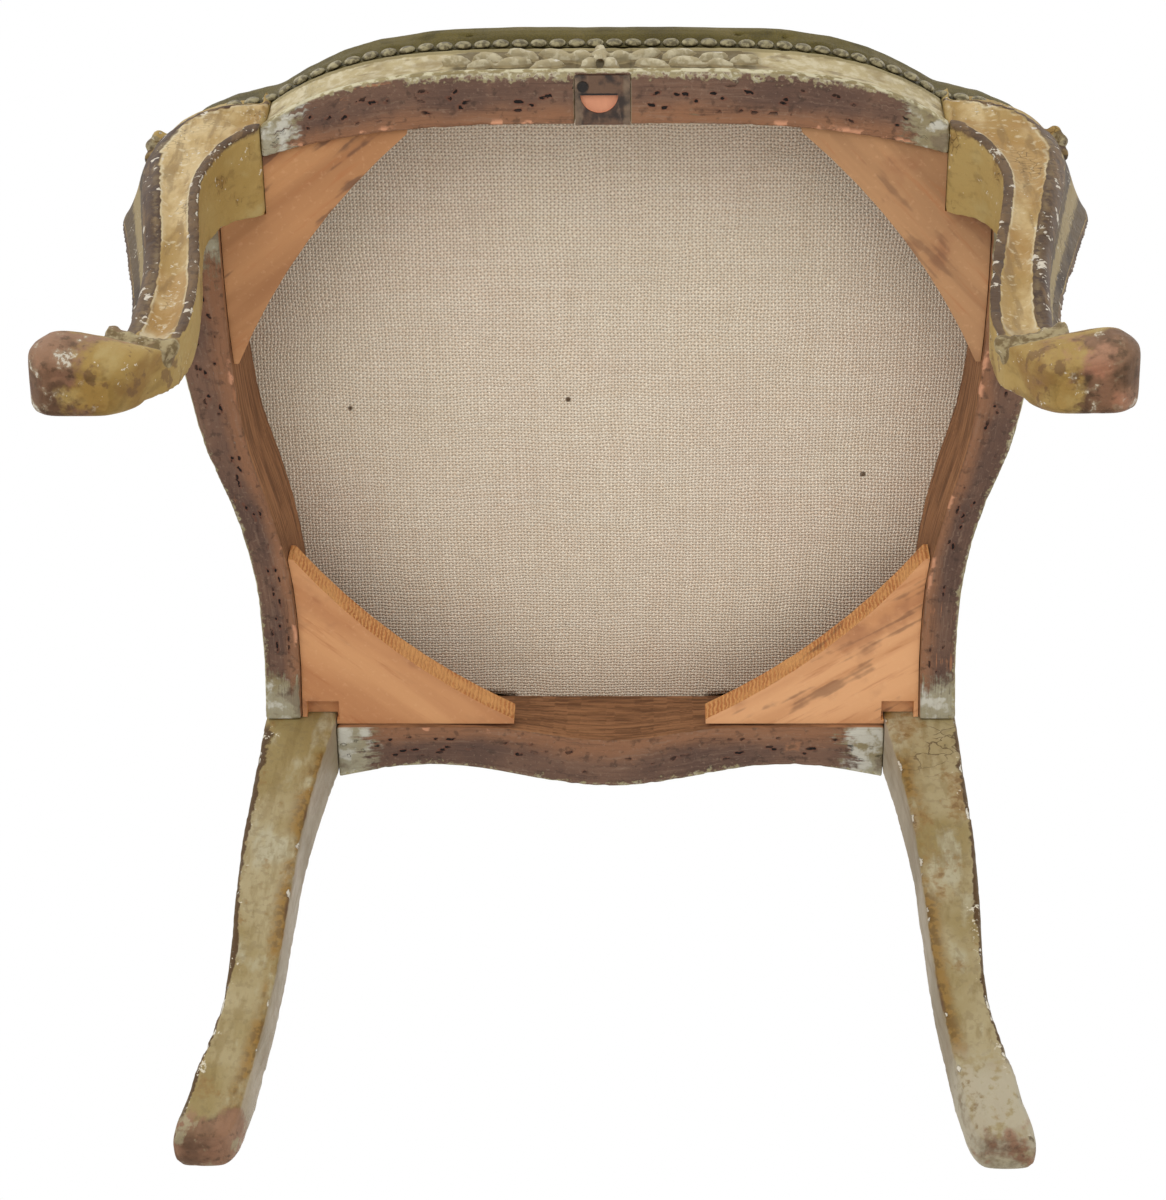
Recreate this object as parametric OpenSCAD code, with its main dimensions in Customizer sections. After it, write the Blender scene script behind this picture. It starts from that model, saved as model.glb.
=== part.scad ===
// Upholstered side chair with a carved and painted frame, cabriole front legs,
// sabre rear legs, a nailed seat and a framed, nailed back.
// The floor is z = 0, the sitter faces -y, and the part is centred on x = 0 and y = 0.

/* [Overall] */
// Front of the seat cover to the back of the crest
overall_d = 539; // [530:1:556]
// Width over the knees of the front legs
knee_w = 514; // [504:1:530]
// Floor to the top of the crest
overall_h = 925; // [900:5:960]

/* [Seat frame] */
// Floor to the underside of the seat rails
rail_z = 300; // [285:1:320]
// Height of the seat rails
rail_h = 66; // [62:1:72]
// Front of the front rail to the back of the rear rail, at the centre
frame_d = 442; // [430:1:450]
// Clear length of the front rail between its posts
front_rail_l = 366; // [356:1:370]
// Set-back of the front rail at its ends
front_bow = 30; // [22:1:34]
// Thickness of the front rail at the centre
front_rail_t = 29.5; // [26:0.5:33]
// Clear length of the rear rail between its posts
rear_rail_l = 323; // [313:1:327]
// Depth of the two hollows in the rear rail
rear_dip = 15; // [8:1:18]
// Distance of each hollow from the centre of the rear rail
rear_dip_x = 105; // [98:1:112]
// Thickness of the rear rail
rear_rail_t = 27; // [24:1:29]
// Half width of the frame over the waist of the side rails
side_waist_x = 201.5; // [198:0.5:203]
// Thickness of a side rail at its waist
side_rail_t = 21; // [18:0.5:24]

/* [Front legs] */
// Depth of the front post, front to back
front_post_d = 50; // [46:1:54]
// Depth of the hollow moulding on the front legs
leg_groove = 3.2; // [2:0.1:4]
// How far both front feet lean to the sitter's right
foot_rack = 6; // [0:0.5:7]

/* [Rear legs] */
// Width of the rear post
rear_post_w = 42; // [39:0.5:44]
// Depth of the rear post
rear_post_d = 40; // [37:0.5:42]
// How far the rear foot stands behind the post
rear_foot_out = 69; // [55:1:76]

/* [Back] */
// Height of the crest over its joints with the stiles
crest_h = 90; // [75:1:110]
// Height of the crest rail at its centre
crest_w = 34; // [30:1:38]
// Thickness of the back frame
back_t = 28; // [26:0.5:31]
// Floor to the underside of the lower back rail
lower_rail_z = 470; // [462:1:490]
// Height of the lower back rail
lower_rail_w = 34; // [30:1:38]
// Half width of the back at its waist
waist_x = 199; // [195:1:203]
// Half width of the back at its shoulders
shoulder_x = 224; // [214:1:232]
// How far the back pad swells in front of its frame
back_swell = 24; // [16:1:30]

/* [Joints] */
// Length of the tenons of the seat rails
tenon_l = 20; // [16:1:22]
// Thickness of every tenon
tenon_t = 8; // [6.5:0.5:9]
// Height of the tenons of the seat rails
tenon_h = 40; // [34:1:44]
// Side of the square pegs
peg_w = 6; // [5:0.5:7]
// Gap left between glued or stretched pieces
seat_gap = 0.3; // [0.2:0.05:0.5]

/* [Corner blocks] */
// Thickness of the corner blocks
block_t = 18; // [15:1:24]
// How far the blocks are let in above the underside of the rails
block_up = 3.5; // [2:0.5:6]
// Reach of a front block along the front rail, from the post
block_front_x = 78; // [66:1:90]
// Reach of a front block along the side rail, from the post
block_front_y = 88; // [76:1:96]
// Reach of a rear block along the rear rail, from the post
block_rear_x = 105; // [90:1:112]
// Reach of a rear block along the side rail, from the post
block_rear_y = 105; // [92:1:112]
// How far the diagonal of a block is hollowed
block_hollow = 9; // [4:1:13]

/* [Upholstery] */
// Thickness of the leather covers
cover_t = 1.8; // [1.4:0.1:2.4]
// How far the seat cover swells in front of the front rail
cover_proud = 1; // [0.5:0.5:3]
// Height of the seat crown above the rails
crown_h = 60; // [48:1:72]
// Thickness of the hessian
hessian_t = 1.2; // [0.8:0.1:1.6]
// Width of a webbing strap
web_w = 50; // [44:1:54]
// Thickness of a webbing strap
web_t = 1.6; // [1.2:0.1:2]
// Head diameter of the dome nails
nail_d = 9.3; // [8:0.1:9.8]
// Spacing of the dome nails
nail_pitch = 10.2; // [10:0.1:13]

/* [Hidden] */

// Places of the seat frame
front_y = -overall_d / 2 + cover_proud;
rear_y = front_y + frame_d;
knee_x = knee_w / 2;
front_in_x = front_rail_l / 2;
rear_in_x = rear_rail_l / 2;
rear_out_x = rear_in_x + rear_post_w;
front_post_y = front_y + front_bow;
front_post_back = front_post_y + front_post_d;
rear_post_back = rear_out_y(rear_in_x);
rear_post_y = rear_post_back - rear_post_d;
side_l = rear_post_y - front_post_back;
rail_top = rail_z + rail_h;
crest_joint_z = overall_h - crest_h;

// Plan curves of the seat frame. The front rail bows, the rear rail has two hollows.
function front_out_y(x) = front_y + front_bow * pow(abs(x) / front_in_x, 4.3);
function front_in_y(x) = front_y + front_rail_t
    + (front_bow - 12) * pow(abs(x) / front_in_x, 3.3);
function rear_out_y(x) = rear_y - rear_dip * (0.5 - 0.5 * cos(180 * x / rear_dip_x));
// The inner face of the rear rail is straight but for a shallow bay that leans back
rear_bay_d = 9;
rear_bay_x = 75;
function rear_bay(x) = abs(x) < rear_bay_x ? 0.5 + 0.5 * cos(180 * x / rear_bay_x) : 0;
function rear_in_y(x) = rear_y - rear_dip - rear_rail_t + rear_bay_d * rear_bay(x);
// Its top edge is cut further back and straight as far as the blocks
rear_top_in = 13.5;
rear_top_x = 70;
rear_top_fade = 45;
function rear_in_top_y(x) = rear_y - rear_dip - rear_rail_t + 3 + rear_top_in
    * (0.5 + 0.5 * cos(180 * min(1, max(0, abs(x) - rear_top_x) / rear_top_fade)));

// A smooth curve through a list of [place, value, value ...] stations
function slope(s, i, c) = i == 0 ? (s[1][c] - s[0][c]) / (s[1][0] - s[0][0])
    : i == len(s) - 1 ? (s[i][c] - s[i - 1][c]) / (s[i][0] - s[i - 1][0])
    : (s[i + 1][c] - s[i - 1][c]) / (s[i + 1][0] - s[i - 1][0]);
function span_of(s, t, i = 0) = i >= len(s) - 2 || t < s[i + 1][0] ? i : span_of(s, t, i + 1);
function along(s, t, c) = let (i = span_of(s, t), h = s[i + 1][0] - s[i][0],
    u = (t - s[i][0]) / h, v = 1 - u)
    s[i][c] * (1 + 2 * u) * v * v + s[i + 1][c] * (3 - 2 * u) * u * u
    + h * slope(s, i, c) * u * v * v - h * slope(s, i + 1, c) * u * u * v;

// The knee stands a little outside the end of the side rail
knee_ease = 0.03 * (knee_x - side_waist_x);
// Side rail in plan: share of its length, share of the flare to the knee, extra thickness
side_plan = [[0, 0.97, 26], [0.16, 0.77, 15], [0.29, 0.60, 7.5], [0.44, 0.44, 4], [0.57, 0.19, 0.5],
    [0.70, 0.04, 0], [0.85, 0, 0], [1, 0.03, 0.5]];
function side_share(y) = (y - front_post_back) / side_l;
function side_out_x(y) = side_waist_x + (knee_x - side_waist_x) * along(side_plan, side_share(y), 1);
function side_in_x(y) = side_out_x(y) - side_rail_t - along(side_plan, side_share(y), 2);

// Moulding of the seat rails: share of the height and depth behind the lower edge
bead_d = 1.2;
cove_d = 6.5;
fillet_d = 3.6;
rail_mould = [[0, bead_d], [0.02, 0], [0.09, 0], [0.13, 1.8], [0.24, 4.9], [0.42, cove_d],
    [0.58, 6.2], [0.70, 4.6], [0.745, fillet_d], [0.80, fillet_d], [0.81, cove_d], [1, cove_d]];
rebate_share = 0.81;
nail_z = rail_z + 0.90 * rail_h;

// A closed skin over rings that have the same number of points
function loft_points(rings) = [for (r = rings) for (p = r) p];
function loft_faces(n, m) = concat(
    [[for (i = [0 : n - 1]) i]],
    [[for (i = [0 : n - 1]) m * n - 1 - i]],
    [for (k = [0 : m - 2]) for (i = [0 : n - 1]) let (j = (i + 1) % n)
        [k * n + i, (k + 1) * n + i, (k + 1) * n + j]],
    [for (k = [0 : m - 2]) for (i = [0 : n - 1]) let (j = (i + 1) % n)
        [k * n + i, (k + 1) * n + j, k * n + j]]);
module loft(rings) {
    polyhedron(points = loft_points(rings), faces = loft_faces(len(rings[0]), len(rings)));
}
function backwards(list) = [for (i = [len(list) - 1 : -1 : 0]) list[i]];

// Colours
painted = "#b5a878";
oak = "#6b5148";
fresh_wood = "#d89a68";
olive = "#5f5a28";
hessian_tan = "#b9ab8d";

// Front leg: share of the leg height, then for a post 50 deep the set-back of the side face
// and of the front face, the width of the front face, the depth of the side face, the splay
// of the side face, the corner rounding and the turn of the toe to the outside
leg_form = [[0, 16, 2.5, 31, 29, 2, 5, 7], [0.045, 8, -3.5, 49, 38, 1, 9, 11],
    [0.085, 12.5, -3, 49, 37.5, 1, 9, 12], [0.133, 33, 7.5, 32, 28.5, 3, 5, 8],
    [0.20, 36.5, 16, 27.5, 24.5, 5.5, 3, 1.5], [0.30, 35, 18, 28, 24.5, 7, 3, 0],
    [0.50, 28, 15.5, 26.5, 27, 9.5, 3, 0], [0.72, 14, 8, 27.5, 35.5, 12.5, 5, 0],
    [0.84, 6, 6.5, 31.5, 39, 14.5, 11, 0], [0.94, 0, 3, 44, 44, 16, 21, 0]];
leg_unit = front_post_d / 50;
top_splay = 16 * leg_unit;
front_leg_plan = concat([for (p = leg_form) concat([p[0]], [for (k = [1 : 7]) leg_unit * p[k]])],
    [[1, knee_ease, 0, knee_x - knee_ease - front_in_x - top_splay, front_post_d, top_splay,
        27 * leg_unit, 0]]);
leg_steps = [0, 0.02, 0.045, 0.075, 0.10, 0.133, 0.165, 0.20, 0.25, 0.31, 0.38, 0.45, 0.52, 0.59,
    0.66, 0.73, 0.79, 0.84, 0.88, 0.91, 0.94, 0.965, 0.985];
// The hollow dies away to a slight swell on the foot, as a share of its own depth
toe_swell = 0.2;
function groove_share(s) = s < 0.13 ? -toe_swell : s < 0.25 ? (s - 0.13) / 0.12 : s < 0.9 ? 1
    : max(0, (1 - s) / 0.1);

// A point part of the way from a to b, pushed in by d to the left of that line
function mix_in(a, b, u, d) = let (t = (b - a) / norm(b - a))
    a + u * (b - a) + d * [-t[1], t[0]];
// Plan section of a moulded leg from its four corners, its groove depth, its corner rounding
// and the depth by which both outer faces step back
function leg_section(fi, fo, ro, ri, g, r, back) = let (
    a = fi + [0, back], b = fo + [-back, back], c = ro + [-back, 0],
    ab = norm(b - a), bc = norm(c - b))
    concat(
        [a],
        [for (q = [[0.14, 0], [0.28, 0.7], [0.55, 1], [0.85, 0.7]])
            mix_in(a, b, q[0] * (1 - r / ab), g * q[1])],
        [mix_in(a, b, 1 - r / ab, 0), mix_in(a, b, 1 - 0.28 * r / ab, 0.20 * r), mix_in(b, c, r / bc, 0)],
        [for (q = [[0.2, 0.7], [0.5, 1], [0.72, 0.7], [0.88, 0]])
            mix_in(b, c, r / bc + (1 - r / bc) * q[0], 0.7 * g * q[1])],
        [c, ri]);
top_round = 18;
function front_leg_ring(s, z, back, rack) = let (
    rx = knee_x - along(front_leg_plan, s, 1) + rack * pow(1 - s, 1.5),
    fy = front_post_y + along(front_leg_plan, s, 2),
    fx = rx - along(front_leg_plan, s, 5),
    ix = fx - along(front_leg_plan, s, 3),
    ry = fy + along(front_leg_plan, s, 4),
    sec = leg_section([ix, fy + along(front_leg_plan, s, 7)], [fx, fy], [rx, ry],
        [ix + 1.2 * (1 - s), ry],
        leg_groove * groove_share(s),
        along(front_leg_plan, s, 6) + top_round * max(0, (z - rail_z) / rail_h), back))
    [for (p = sec) [p[0], p[1], z]];

// Tenons of the seat rails and the mortises that they fill
tenon_z = rail_z + 9;
root_in = 2;
cut_over = 1;
front_tenon_y = front_in_y(front_in_x - root_in) - tenon_t;
side_tenon_x = (side_in_x(front_post_back) + side_out_x(front_post_back) - tenon_t) / 2;
rear_side_tenon_x = side_waist_x - side_rail_t / 2 - tenon_t / 2;
rear_tenon_y = rear_post_back - 22;
module front_tenon(extra = 0) {
    translate([front_in_x - extra, front_tenon_y, tenon_z]) cube([tenon_l + extra, tenon_t, tenon_h]);
}
module side_front_tenon(extra = 0) {
    translate([side_tenon_x, front_post_back - tenon_l, tenon_z])
        cube([tenon_t, tenon_l + extra, tenon_h]);
}
module side_rear_tenon(extra = 0) {
    translate([rear_side_tenon_x, rear_post_y - extra, tenon_z])
        cube([tenon_t, tenon_l + extra, tenon_h]);
}
module rear_tenon(extra = 0) {
    translate([rear_in_x - extra, rear_tenon_y, tenon_z]) cube([tenon_l - 2 + extra, tenon_t, tenon_h]);
}

// Square pegs through the joints of the seat frame, driven from the back or the inside
peg_z = rail_z + rail_h / 2 - peg_w / 2;
peg_past = 1;
side_peg_z = peg_z + peg_w + 2;
module front_peg(extra = 0) {
    translate([front_in_x + tenon_l / 2 - peg_w / 2, front_tenon_y - peg_past, peg_z])
        cube([peg_w, front_post_back - front_tenon_y + peg_past + extra, peg_w]);
}
module side_front_peg(extra = 0) {
    translate([front_in_x - extra, front_post_back - tenon_l / 2 - peg_w / 2, side_peg_z])
        cube([side_tenon_x + tenon_t + peg_past - front_in_x + extra, peg_w, peg_w]);
}
module side_rear_peg(extra = 0) {
    translate([rear_in_x - extra, rear_post_y + tenon_l / 2 - peg_w / 2, side_peg_z])
        cube([rear_side_tenon_x + tenon_t + peg_past - rear_in_x + extra, peg_w, peg_w]);
}
module rear_peg(extra = 0) {
    translate([rear_in_x + tenon_l / 2 - peg_w / 2, rear_tenon_y - peg_past, peg_z])
        cube([peg_w, rear_post_back - rear_tenon_y + peg_past + extra, peg_w]);
}

module front_leg(rack) {
    low = [for (s = leg_steps) front_leg_ring(s, s * rail_z, 0, rack)];
    high = [for (q = rail_mould) front_leg_ring(1, rail_z + q[0] * rail_h, q[1], 0)];
    color(painted) difference() {
        loft(concat(low, high));
        front_tenon(cut_over);
        side_front_tenon(cut_over);
        front_peg(cut_over);
        side_front_peg(cut_over);
    }
}
module front_left_leg() { mirror([1, 0, 0]) front_leg(foot_rack); }
module front_right_leg() { front_leg(-foot_rack); }

// Lean of the back, measured at the front face of the stiles
edge_share = 0.08;
crest_mid_z = overall_h - crest_w / 2;
back_lean = (overall_d / 2 - back_t - rear_post_y) / (overall_h - edge_share * crest_w - rail_top);
function back_y(z) = rear_post_y + back_lean * (z - rail_top);

// Rear leg below the seat: share of the height, change of the outer face, width, set-back
// of the front face as a share of the rake, depth
rear_leg_plan = [[0, 19, 31, 1, 24], [0.05, 17, 35, 0.93, 29], [0.13, 8.5, 30, 0.77, 30],
    [0.23, 1, 26.5, 0.63, 30.5], [0.33, -1.5, 27, 0.50, 32], [0.50, 0.5, 31, 0.33, 33],
    [0.67, 1.5, 33.5, 0.20, 34.5], [0.84, 0.5, 37, 0.08, 37], [1, 0, rear_post_w, 0, rear_post_d]];
rear_steps = [0, 0.02, 0.05, 0.09, 0.13, 0.18, 0.23, 0.28, 0.33, 0.41, 0.50, 0.59, 0.67, 0.76, 0.84, 0.92];
// Stile above the seat: height, outer face, width and depth
stile_w = 31;
stile_l = crest_joint_z - rail_top;
neck_l = 0.19 * stile_l;
stile_end_x = shoulder_x - 2;
stile_plan = [[rail_top, rear_out_x, rear_post_w, rear_post_d],
    [rail_top + 0.085 * stile_l, rear_out_x - 1.5, (rear_post_w + stile_w) / 2, (rear_post_d + back_t) / 2],
    [rail_top + neck_l, waist_x, stile_w, back_t],
    [rail_top + 0.45 * stile_l, waist_x + 0.40 * (shoulder_x - waist_x), stile_w, back_t],
    [rail_top + 0.75 * stile_l, waist_x + 0.88 * (shoulder_x - waist_x), stile_w, back_t],
    [rail_top + 0.94 * stile_l, shoulder_x, stile_w, back_t],
    [crest_joint_z, stile_end_x, stile_w, back_t]];
stile_steps = [for (k = [0 : 14]) rail_top + stile_l * k / 14];

// Front face of a back member from its inner edge to its outer edge: share of the width
// and depth, with a rebate for the cover, a bead, a hollow and a second bead
rebate_d = 3;
back_mould = [[0, rebate_d], [0.36, rebate_d], [0.38, 0.3], [0.46, 0], [0.53, 2], [0.68, 2.8],
    [0.82, 2], [0.90, 0], [1, 1]];
leg_mould = [[0, 0], [0.10, 0], [0.20, 1.5], [0.35, 2], [0.50, 2.2], [0.65, 2], [0.80, 1.5], [0.90, 0],
    [1, 0.5]];
function rear_ring(z, x_out, w, d, y, share, plain) = concat(
    [for (i = [0 : 8]) let (q = leg_mould[i] + (back_mould[i] - leg_mould[i]) * share)
        [x_out - w + w * q[0], y + (1 - plain) * q[1], z]],
    [[x_out, y + 4, z], [x_out, y + d - 3, z], [x_out - 3, y + d, z], [x_out - w + 3, y + d, z],
        [x_out - w, y + d - 3, z]]);
function rear_leg_ring(s) = let (p = rear_leg_plan)
    rear_ring(s * rail_z, rear_out_x + along(p, s, 1), along(p, s, 2), along(p, s, 4),
        rear_post_y + rear_foot_out * along(p, s, 3), 0, s > 0.85 ? 1 : s < 0.1 ? 1 : 0.4);
function stile_ring(z) = let (p = stile_plan, share = min(1, max(0, (z - rail_top) / neck_l)))
    rear_ring(z, along(p, z, 1), along(p, z, 2), along(p, z, 3), back_y(z), share, share > 0.2 ? 0 : 1);
function stile_in_x(z) = along(stile_plan, z, 1) - along(stile_plan, z, 2);

// Joint of the lower back rail with the stiles, and of the stiles with the crest
lower_end_x = stile_in_x(lower_rail_z + lower_rail_w / 2) + 1.5;
lower_mid_z = lower_rail_z + lower_rail_w / 2;
back_tenon_t = tenon_t;
module lower_end_seat() {
    translate([lower_end_x - tenon_l, back_y(lower_rail_z) - tenon_l / 2, lower_rail_z - 4])
        cube([tenon_l, back_t + 2 * tenon_l, lower_rail_w + 8]);
}
module lower_back_tenon(extra = 0) {
    translate([lower_end_x - extra, back_y(lower_mid_z) + back_t / 2 - back_tenon_t / 2, lower_mid_z - 9])
        cube([16 + extra, back_tenon_t, 18]);
}
crest_tenon_x = stile_end_x - stile_w / 2;
module crest_tenon(extra = 0) {
    translate([crest_tenon_x - 8, back_y(crest_joint_z) + back_t / 2 - back_tenon_t / 2 + 1.5,
        crest_joint_z - extra])
        cube([16, back_tenon_t, 15 + extra]);
}
module lower_back_peg() {
    translate([lower_end_x + 8 - peg_w / 2, back_y(lower_mid_z) + 8, lower_mid_z - peg_w / 2])
        cube([peg_w, back_t - 6.5, peg_w]);
}
module crest_peg() {
    translate([crest_tenon_x - peg_w / 2, back_y(crest_joint_z) + 9, crest_joint_z + 5])
        cube([peg_w, back_t - 5.5, peg_w]);
}

module rear_leg() {
    rings = concat([for (s = rear_steps) rear_leg_ring(s)],
        [rear_leg_ring(1)], [for (z = stile_steps) stile_ring(z)]);
    color(painted) union() {
        difference() {
            loft(rings);
            side_rear_tenon(cut_over);
            rear_tenon(cut_over);
            side_rear_peg(cut_over);
            rear_peg(cut_over);
            lower_end_seat();
            lower_back_tenon(cut_over);
            lower_back_peg();
        }
        difference() {
            crest_tenon(root_in);
            crest_peg();
        }
    }
}
module rear_left_leg() { mirror([1, 0, 0]) rear_leg(); }
module rear_right_leg() { rear_leg(); }

// Seat rails, each a moulded section carried along its plan curve
function rail_z_at(q) = rail_z + q[0] * rail_h;
function front_rail_ring(x) = concat(
    [for (q = backwards(rail_mould)) [x, front_out_y(x) + q[1], rail_z_at(q)]],
    [[x, front_in_y(x), rail_z], [x, front_in_y(x), rail_top]]);
front_rail_x = [for (k = [-14 : 14]) (front_in_x + cut_over) * sign(k) * pow(abs(k) / 14, 0.8)];
// What lies between the planes of two joints, square to x or to y
module between_x(x) {
    intersection() {
        children();
        translate([-x, -overall_d, 0]) cube([2 * x, 2 * overall_d, overall_h]);
    }
}
module between_y(from, to) {
    intersection() {
        children();
        translate([-knee_w, from, 0]) cube([2 * knee_w, to - from, overall_h]);
    }
}
// Slot of the patch let into the underside of the front rail, behind the lower bead
patch_w = 29;
patch_h = 9;
patch_x = -0.5;
patch_y = front_y + 2.5;
half_round_r = 10;
half_round_d = 2;
module patch_slot(extra = 0) {
    translate([patch_x - patch_w / 2, patch_y, rail_z - extra])
        cube([patch_w, front_rail_t - patch_y + front_y + extra, patch_h + extra]);
}
module front_rail() {
    color(oak) difference() {
        union() {
            between_x(front_in_x) loft([for (x = front_rail_x) front_rail_ring(x)]);
            front_tenon(root_in);
            mirror([1, 0, 0]) front_tenon(root_in);
        }
        patch_slot(cut_over);
        front_peg();
        mirror([1, 0, 0]) front_peg();
    }
}
// The patch has a half-round recess, square to the front, that was cut for a lost fitting
module rail_patch() {
    color(fresh_wood) difference() {
        patch_slot();
        translate([patch_x - 1.7, patch_y + 10.8, rail_z - 1]) intersection() {
            cylinder(h = half_round_d + 1, r = half_round_r);
            translate([-half_round_r, 0, 0]) cube([2 * half_round_r, half_round_r, half_round_d + 1]);
        }
    }
}
function rear_rail_ring(x) = concat(
    [for (q = rail_mould) [x, rear_out_y(x) - q[1], rail_z_at(q)]],
    [[x, rear_in_top_y(x), rail_top], [x, rear_in_y(x), rail_z]]);
module rear_rail() {
    color(oak) difference() {
        union() {
            between_x(rear_in_x)
                loft([for (k = [-15 : 15]) rear_rail_ring((rear_in_x + cut_over) * k / 15)]);
            rear_tenon(root_in);
            mirror([1, 0, 0]) rear_tenon(root_in);
        }
        rear_peg();
        mirror([1, 0, 0]) rear_peg();
    }
}
function side_rail_ring(y) = concat(
    [for (q = backwards(rail_mould)) [side_out_x(y) - q[1], y, rail_z_at(q)]],
    [[side_in_x(y), y, rail_z], [side_in_x(y), y, rail_top]]);
module side_rail() {
    color(oak) difference() {
        union() {
            between_y(front_post_back, rear_post_y) loft([for (k = [0 : 20])
                side_rail_ring(front_post_back - cut_over + (side_l + 2 * cut_over) * k / 20)]);
            side_front_tenon(root_in);
            side_rear_tenon(root_in);
        }
        side_front_peg();
        side_rear_peg();
    }
}
module left_side_rail() { mirror([1, 0, 0]) side_rail(); }
module right_side_rail() { side_rail(); }

// Crest rail: share of the way from a stile to the centre, half width, height of its inner
// edge and its width, drawn on the face of the back
crest_in = crest_mid_z - crest_w / 2;
crest_rise = crest_in - crest_joint_z;
crest_in_x = stile_end_x - stile_w;
crest_plan = [[0, crest_in_x, 0, stile_end_x, 0], [0.10, 0.985 * crest_in_x, 0.26, stile_end_x, 0.40],
    [0.22, 0.93 * crest_in_x, 0.46, 0.965 * stile_end_x, 0.90],
    [0.34, 0.81 * crest_in_x, 0.56, 0.865 * stile_end_x, 1.18],
    [0.50, 0.64 * crest_in_x, 0.58, 0.604 * stile_end_x, 1.22],
    [0.66, 0.44 * crest_in_x, 0.62, 0.396 * stile_end_x, 1.22],
    [0.82, 0.23 * crest_in_x, 0.86, 0.207 * stile_end_x, 1.42],
    [1, 0, 1, 0, 1 + crest_w / crest_rise],
    [1.18, -0.23 * crest_in_x, 0.86, -0.207 * stile_end_x, 1.42]];
function crest_point(s, c, side) = [side * along(crest_plan, s, c),
    crest_joint_z + crest_rise * along(crest_plan, s, c + 1)];
function on_back(p, depth) = [p[0], back_y(p[1]) + depth, p[1]];
function back_section(a, b) = concat(
    [for (q = back_mould) on_back(a + q[0] * (b - a), q[1])],
    [on_back(b, 4), on_back(b, back_t - 3), on_back(b + edge_share * (a - b), back_t),
        on_back(a + edge_share * (b - a), back_t), on_back(a, back_t - 3)]);
function crest_ring(s, side) = back_section(crest_point(s, 1, side), crest_point(s, 3, side));
crest_n = 16;
module crest_rail() {
    right = [for (k = [0 : crest_n]) crest_ring(k / crest_n, 1)];
    left = [for (k = [crest_n - 1 : -1 : 0]) crest_ring(k / crest_n, -1)];
    color(painted) difference() {
        loft(concat(right, left));
        crest_tenon(cut_over);
        crest_peg();
        mirror([1, 0, 0]) {
            crest_tenon(cut_over);
            crest_peg();
        }
    }
}

// Lower back rail: its top edge dips at the centre and its lower edge rises
lower_arch = 3;
function lower_wave(x) = lower_arch * (0.5 + 0.5 * cos(180 * x / lower_end_x));
function lower_top(x) = lower_rail_z + lower_rail_w - 0.4 * lower_wave(x);
function lower_ring(x) = back_section([x, lower_top(x)], [x, lower_rail_z + lower_wave(x)]);
module lower_back_rail() {
    color(painted) difference() {
        union() {
            between_x(lower_end_x)
                loft([for (k = [-12 : 12]) lower_ring((lower_end_x + cut_over) * k / 12)]);
            lower_back_tenon(root_in);
            mirror([1, 0, 0]) lower_back_tenon(root_in);
        }
        lower_back_peg();
        mirror([1, 0, 0]) lower_back_peg();
    }
}

// Hollow diagonal of a corner block from a to b
function hollow_line(a, b, n = 8) = let (t = (b - a) / norm(b - a), side = [t[1], -t[0]])
    [for (k = [0 : n]) let (u = k / n) a + u * (b - a) + 4 * block_hollow * u * (1 - u) * side];
module corner_block(outline) {
    color(fresh_wood) translate([0, 0, rail_z + block_up]) linear_extrude(block_t) polygon(outline);
}
front_block_x = front_in_x - block_front_x;
front_block_y = front_post_back + block_front_y;
module front_block() {
    corner_block(concat(
        [for (k = [0 : 5]) let (x = front_block_x + (front_in_x - seat_gap - front_block_x) * k / 5)
            [x, front_in_y(x) + seat_gap]],
        [[front_in_x - seat_gap, front_post_back + seat_gap]],
        [for (k = [0 : 5]) let (y = front_post_back + seat_gap + (block_front_y - seat_gap) * k / 5)
            [side_in_x(y) - seat_gap, y]],
        backwards(hollow_line([front_block_x, front_in_y(front_block_x) + 3],
            [side_in_x(front_block_y) - 3, front_block_y]))));
}
module front_left_block() { mirror([1, 0, 0]) front_block(); }
module front_right_block() { front_block(); }
rear_block_x = rear_in_x - block_rear_x;
rear_block_y = rear_post_y - block_rear_y;
rear_block_back = rear_in_y(rear_dip_x) - seat_gap;
// The underside of a rear block is cut away where it meets the post
block_notch_w = 19;
block_notch_l = 11;
block_notch_d = 6;
module rear_block() {
    difference() {
        rear_block_blank();
        translate([rear_in_x - 2, rear_post_y - block_notch_l, rail_z])
            cube([block_notch_w, block_notch_l + 2, block_up + block_notch_d]);
    }
}
module rear_block_blank() {
    corner_block(concat(
        [for (k = [0 : 6]) let (y = rear_block_y + (block_rear_y - seat_gap) * k / 6)
            [side_in_x(y) - seat_gap, y]],
        [[rear_in_x - seat_gap, rear_post_y - seat_gap], [rear_in_x - seat_gap, rear_block_back],
            [rear_block_x, rear_block_back]],
        backwards(hollow_line([side_in_x(rear_block_y) - 3, rear_block_y],
            [rear_block_x, rear_block_back - 3]))));
}
module rear_left_block() { mirror([1, 0, 0]) rear_block(); }
module rear_right_block() { rear_block(); }

module seat_pegs() {
    color(oak) for (side = [0, 1]) mirror([side, 0, 0]) {
        front_peg();
        side_front_peg();
        side_rear_peg();
        rear_peg();
    }
}
module back_pegs() {
    color(oak) for (side = [0, 1]) mirror([side, 0, 0]) {
        lower_back_peg();
        crest_peg();
    }
}

// Plan outline of the upholstered seat, right half from the front centre to the rear centre,
// at a given distance inside the lower edge of the rails, with a notch round the rear post
function notch_gap(inset) = 1 + 0.5 * (inset + cover_proud);
front_stops = [0, 0.3, 0.52, 0.68, 0.8, 0.91, 1];
side_stops = 8;
notch_first = len(front_stops) + side_stops + 4;
notch_in = 2.5;
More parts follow.
